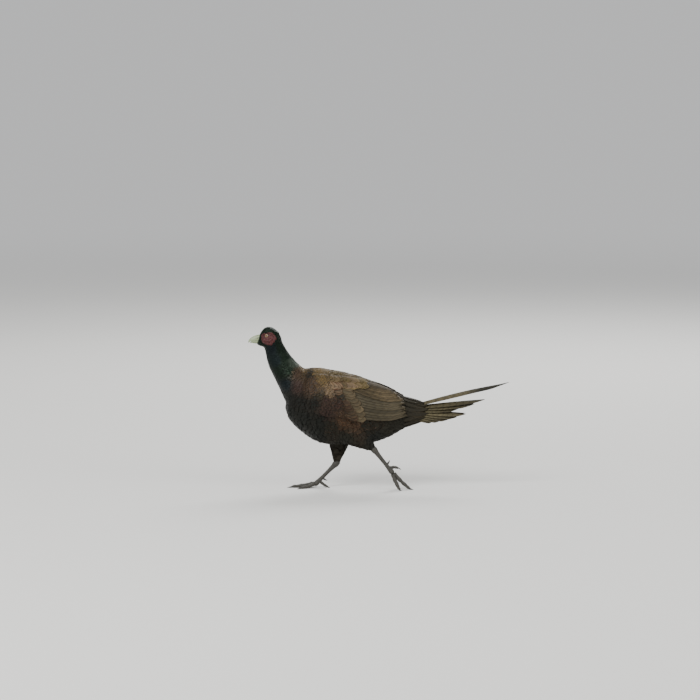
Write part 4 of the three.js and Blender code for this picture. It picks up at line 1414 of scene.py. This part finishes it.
# Relief of the shank and the toes: rows and columns of plates, and their height
SHANK_PLATES = (15, 6, 0.55)
TOE_PLATES = (13, 4, 0.5)
SPUR_FROM = 0.3
SPUR_LENGTH = 9.5
SPUR_RADIUS = 2.7
TOE_RADIUS = {1: 3.0, 2: 3.6, 3: 4.0, 4: 3.6}
TOE_PATHS = {
    "right": {
        1: ((-57, 16, 15), (-48, 14.5, 8), (-39, 13.5, 2.5)),
        2: ((-69, 11, 8.5), (-83, 3, 3.7), (-97, -5, 2.7)),
        3: ((-72, 16, 9), (-93, 15, 4), (-116, 14, 2.9)),
        4: ((-69, 21, 8.5), (-85, 29, 3.7), (-100, 37, 2.7)),
    },
    "left": {
        1: ((100, -15, 49), (109, -14, 50), (117, -13, 48)),
        2: ((105, -13, 34), (112, -8, 17), (119, -5, 2.6)),
        3: ((108, -18, 36), (125, -18, 18), (142, -18, 2.9)),
        4: ((105, -23, 34), (112, -28, 17), (120, -32, 2.6)),
    },
}
CLAW_LENGTH = {1: 7.0, 2: 10.0, 3: 12.0, 4: 10.0}
CLAW_TIP = 0.4
SCALE_GREY = (0.024, 0.022, 0.017)
SCALE_PALE = (0.052, 0.048, 0.037)
# The dark colour of the painted shade in the creases between the scales
SCALE_CREASE_SHADE = (0.010, 0.009, 0.007)
CLAW_DARK = (0.022, 0.020, 0.017)


def curve_through(points, count):
    """Points evenly along a smooth curve through three or more points."""
    points = np.array(points, float)
    ends = [2 * points[0] - points[1], *points, 2 * points[-1] - points[-2]]
    out = []
    for t in np.linspace(0, len(points) - 1, count):
        k = min(int(t), len(points) - 2)
        s = t - k
        a, b, c, d = ends[k:k + 4]
        out.append(0.5 * (2 * b + (c - a) * s + (2 * a - 5 * b + 4 * c - d) * s ** 2
                          + (3 * b - a - 3 * c + d) * s ** 3))
    return np.array(out)


def limb(path, deep, wide, relief, sides):
    """Rings square to a path. relief gives a scale's height at a share along and a turn round."""
    rings = []
    for k, ahead in enumerate(unit(np.gradient(path, axis=0))):
        across = unit(np.array([0, 1.0, 0]) - ahead * ahead[1])
        up = np.cross(ahead, across)
        ring = []
        for turn in circle(sides):
            rise = relief(k / (len(path) - 1), turn)
            aside = across * (wide[k] + rise) * math.cos(turn)
            ring.append(path[k] + aside + up * (deep[k] + rise) * math.sin(turn))
        rings.append(ring)
    return rings


def plates(rows, columns, height):
    """Relief of overlapping plates: broad ones on the front, small ones behind."""
    def relief(share, turn):
        front = math.sin(turn) < 0.15
        many = rows if front else rows * 2
        around = columns if front else columns * 2
        line = share * many
        row = int(line)
        cell = (turn / (2 * math.pi) * around + 0.5 * (row % 2)) % 1
        along_plate = line - row
        dome = (1 - (2 * cell - 1) ** 4) * (1 - (2 * along_plate - 1) ** 6)
        return height * (1.0 if front else 0.35) * dome * (0.6 + 0.4 * along_plate)
    return relief


def polished(share, turn):
    """The relief of a spur or claw, which is smooth."""
    return 0.0


def scale_finish():
    """Dry horny scales, dusty in places, with painted shade in the creases between them, so that the raised
    crests stand lighter.
    """
    finish = Finish("leg_scale")
    dirt = finish.noise(220.0)
    # Painted shade: where the pointiness is low, in the creases between the plates, the scales turn to the
    # dark crease colour; where it is high they keep their own dusty grey
    pointed = finish.node("ShaderNodeNewGeometry", output=7).ramp(0.45, 0.53)
    return finish.surface(
        Base_Color=finish.blend(pointed, SCALE_CREASE_SHADE, finish.blend(dirt, SCALE_GREY, SCALE_PALE)),
        Roughness=0.5 + 0.2 * dirt,
        Normal=finish.bump(finish.cells(1500.0), 0.00015, 0.6),
    )


def claw_finish():
    """Dark polished horn with fine lines along it."""
    finish = Finish("claw_horn")
    lines = finish.noise(500.0, 4.0)
    return finish.surface(
        Base_Color=finish.blend(lines, CLAW_DARK, SCALE_GREY),
        Roughness=0.3 + 0.2 * lines,
        Normal=finish.bump(lines, 0.0001, 0.5),
    )


leg_finish = scale_finish()
nail_finish = claw_finish()


def stand(name, rings, node):
    """A piece of the leg in place of its solid, kept above the floor, in scales or in polished horn."""
    points, faces = rings_mesh(rings)
    points[:, 2] = np.maximum(points[:, 2], 0.0)
    horny = node.startswith(("spur", "claw"))
    finish, slot = (nail_finish, "claw") if horny else (leg_finish, "leg_scales")
    dress(piece(name, points, faces), finish, slot, node)


for word, leg in LEGS.items():
    hock, ball = np.array(leg["hock"], float), np.array(leg["ball"], float)
    shares = np.linspace(-0.1, 1.08, 150)
    sizes = along(SHANK, shares)
    path = hock + (ball - hock) * shares[:, None]
    rings = limb(path, sizes[:, 1], sizes[:, 2], plates(*SHANK_PLATES), 48)
    stand(f"shank_{word}", rings, f"tarsus_{word}")

    down = unit(ball - hock)
    back = np.array([-down[2], 0, down[0]])
    shares = np.linspace(SPUR_FROM, 1 + SPUR_FROM, 20)
    inwards = -2 * leg["side"]
    path = hock + (ball - hock) * 0.7 + np.array([
        back * SPUR_LENGTH * t + down * (-2 * t * t) + (0, inwards * t, 0) for t in shares
    ])
    thick = CLAW_TIP + (SPUR_RADIUS - CLAW_TIP) * (1 - (shares - SPUR_FROM)) ** 0.8
    stand(f"spur_horn_{word}", limb(path, thick, thick, polished, 20), f"spur_{word}")

    for number, points in TOE_PATHS[word].items():
        radius = TOE_RADIUS[number]
        shares = np.linspace(0, 1, 90)
        path = curve_through(points, len(shares))
        end = np.minimum(1, (1 - shares) * 9 + 0.3) ** 0.5
        thick = radius * (1.1 - 0.28 * shares) * (1 + 0.09 * np.cos(6 * math.pi * shares)) * end
        rings = limb(path, thick, thick, plates(*TOE_PLATES), 32)
        stand(f"scaled_toe_{word}_{number}", rings, f"toe_{word}_{number}")

        tip = np.array(points[2], float)
        ahead = unit(tip - points[1])
        shares = np.linspace(-0.12, 1, 24)
        out = np.maximum(0, shares)
        path = tip + ahead * (CLAW_LENGTH[number] * shares)[:, None]
        if tip[2] < 10:
            path[:, 2] = tip[2] + (0.6 * CLAW_TIP - tip[2]) * out ** 0.7
        else:
            path[:, 2] -= 3 * out ** 2
        thick = CLAW_TIP + (0.62 * radius - CLAW_TIP) * (1 - out ** 0.8)
        rings = limb(path, thick, 0.85 * thick, polished, 18)
        stand(f"nail_{word}_{number}", rings, f"claw_{word}_{number}")

# The studio: a pale floor that runs out of sight, three large soft lamps and an even pale ambience,
# and a long lens a little above the bird's level, as in the photograph.
FLOOR_RADIUS = 40.0
FLOOR_SIDES = 96
VIEW_MIDDLE = Vector((-0.0635, 0.0, 0.308))
VIEW_WIDTH = 1.54
VIEW_DISTANCE = 7.0
VIEW_ELEVATION = math.radians(6.0)
LAMPS = {
    "key": ((-2.2, -3.0, 3.4), 2.4, 210.0),
    "fill": ((3.2, -2.2, 2.0), 2.6, 70.0),
    "rim": ((1.0, 3.2, 3.2), 2.2, 150.0),
}
FLOOR_TONE = (0.72, 0.715, 0.69)
FLOOR_MOTTLE = (0.66, 0.655, 0.635)
BLACK = (0.0, 0.0, 0.0)
AIR_TONE = (0.815, 0.82, 0.825)
AIR_LIGHT = 0.75
FLOOR_FADE = (2.0, 9.0)


def floor_finish():
    """Matt painted board with a faint mottle, which goes over into the tone of the air far away."""
    finish = Finish("studio_floor")
    mottle = finish.noise(1.6, 4.0)
    fade = finish.vector("LENGTH", finish.place(), output=1).ramp(*FLOOR_FADE)
    air = tuple(AIR_LIGHT * share for share in AIR_TONE)
    return finish.surface(
        Base_Color=finish.blend(fade, finish.blend(mottle * 0.25, FLOOR_TONE, FLOOR_MOTTLE), BLACK),
        Emission_Color=finish.blend(fade, BLACK, air),
        Emission_Strength=1.0,
        Specular_IOR_Level=0.0,
        Roughness=0.85 + 0.05 * mottle,
    )


floor_mesh = bpy.data.meshes.new("floor")
floor_rim = [(FLOOR_RADIUS * math.cos(t), FLOOR_RADIUS * math.sin(t), 0) for t in circle(FLOOR_SIDES)]
floor_mesh.from_pydata(floor_rim, [], [tuple(range(FLOOR_SIDES))])
floor_mesh.materials.append(floor_finish())
placed("floor", floor_mesh)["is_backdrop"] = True

for name, (place, size, power) in LAMPS.items():
    lamp_data = bpy.data.lights.new(name, "AREA")
    lamp_data.shape = "DISK"
    lamp_data.size = size
    lamp_data.energy = power
    lamp = placed(name, lamp_data)
    lamp.location = place
    lamp.rotation_euler = (VIEW_MIDDLE - Vector(place)).to_track_quat("-Z", "Y").to_euler()

world = bpy.data.worlds.new("studio")
world.use_nodes = True
air = world.node_tree.nodes["Background"].inputs
air["Color"].default_value = (*AIR_TONE, 1)
air["Strength"].default_value = AIR_LIGHT
bpy.context.scene.world = world

camera_data = bpy.data.cameras.new("camera")
camera_data.sensor_width = 36.0
camera_data.lens = camera_data.sensor_width * VIEW_DISTANCE / VIEW_WIDTH
camera = placed("camera", camera_data)
look = Vector((0, math.cos(VIEW_ELEVATION), -math.sin(VIEW_ELEVATION)))
camera.location = VIEW_MIDDLE - look * VIEW_DISTANCE
camera.rotation_euler = look.to_track_quat("-Z", "Y").to_euler()
bpy.context.scene.camera = camera

boxes = {"cad": CAD_BOX, "visual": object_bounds()}
{name: [list(corner) for corner in box] for name, box in boxes.items()}
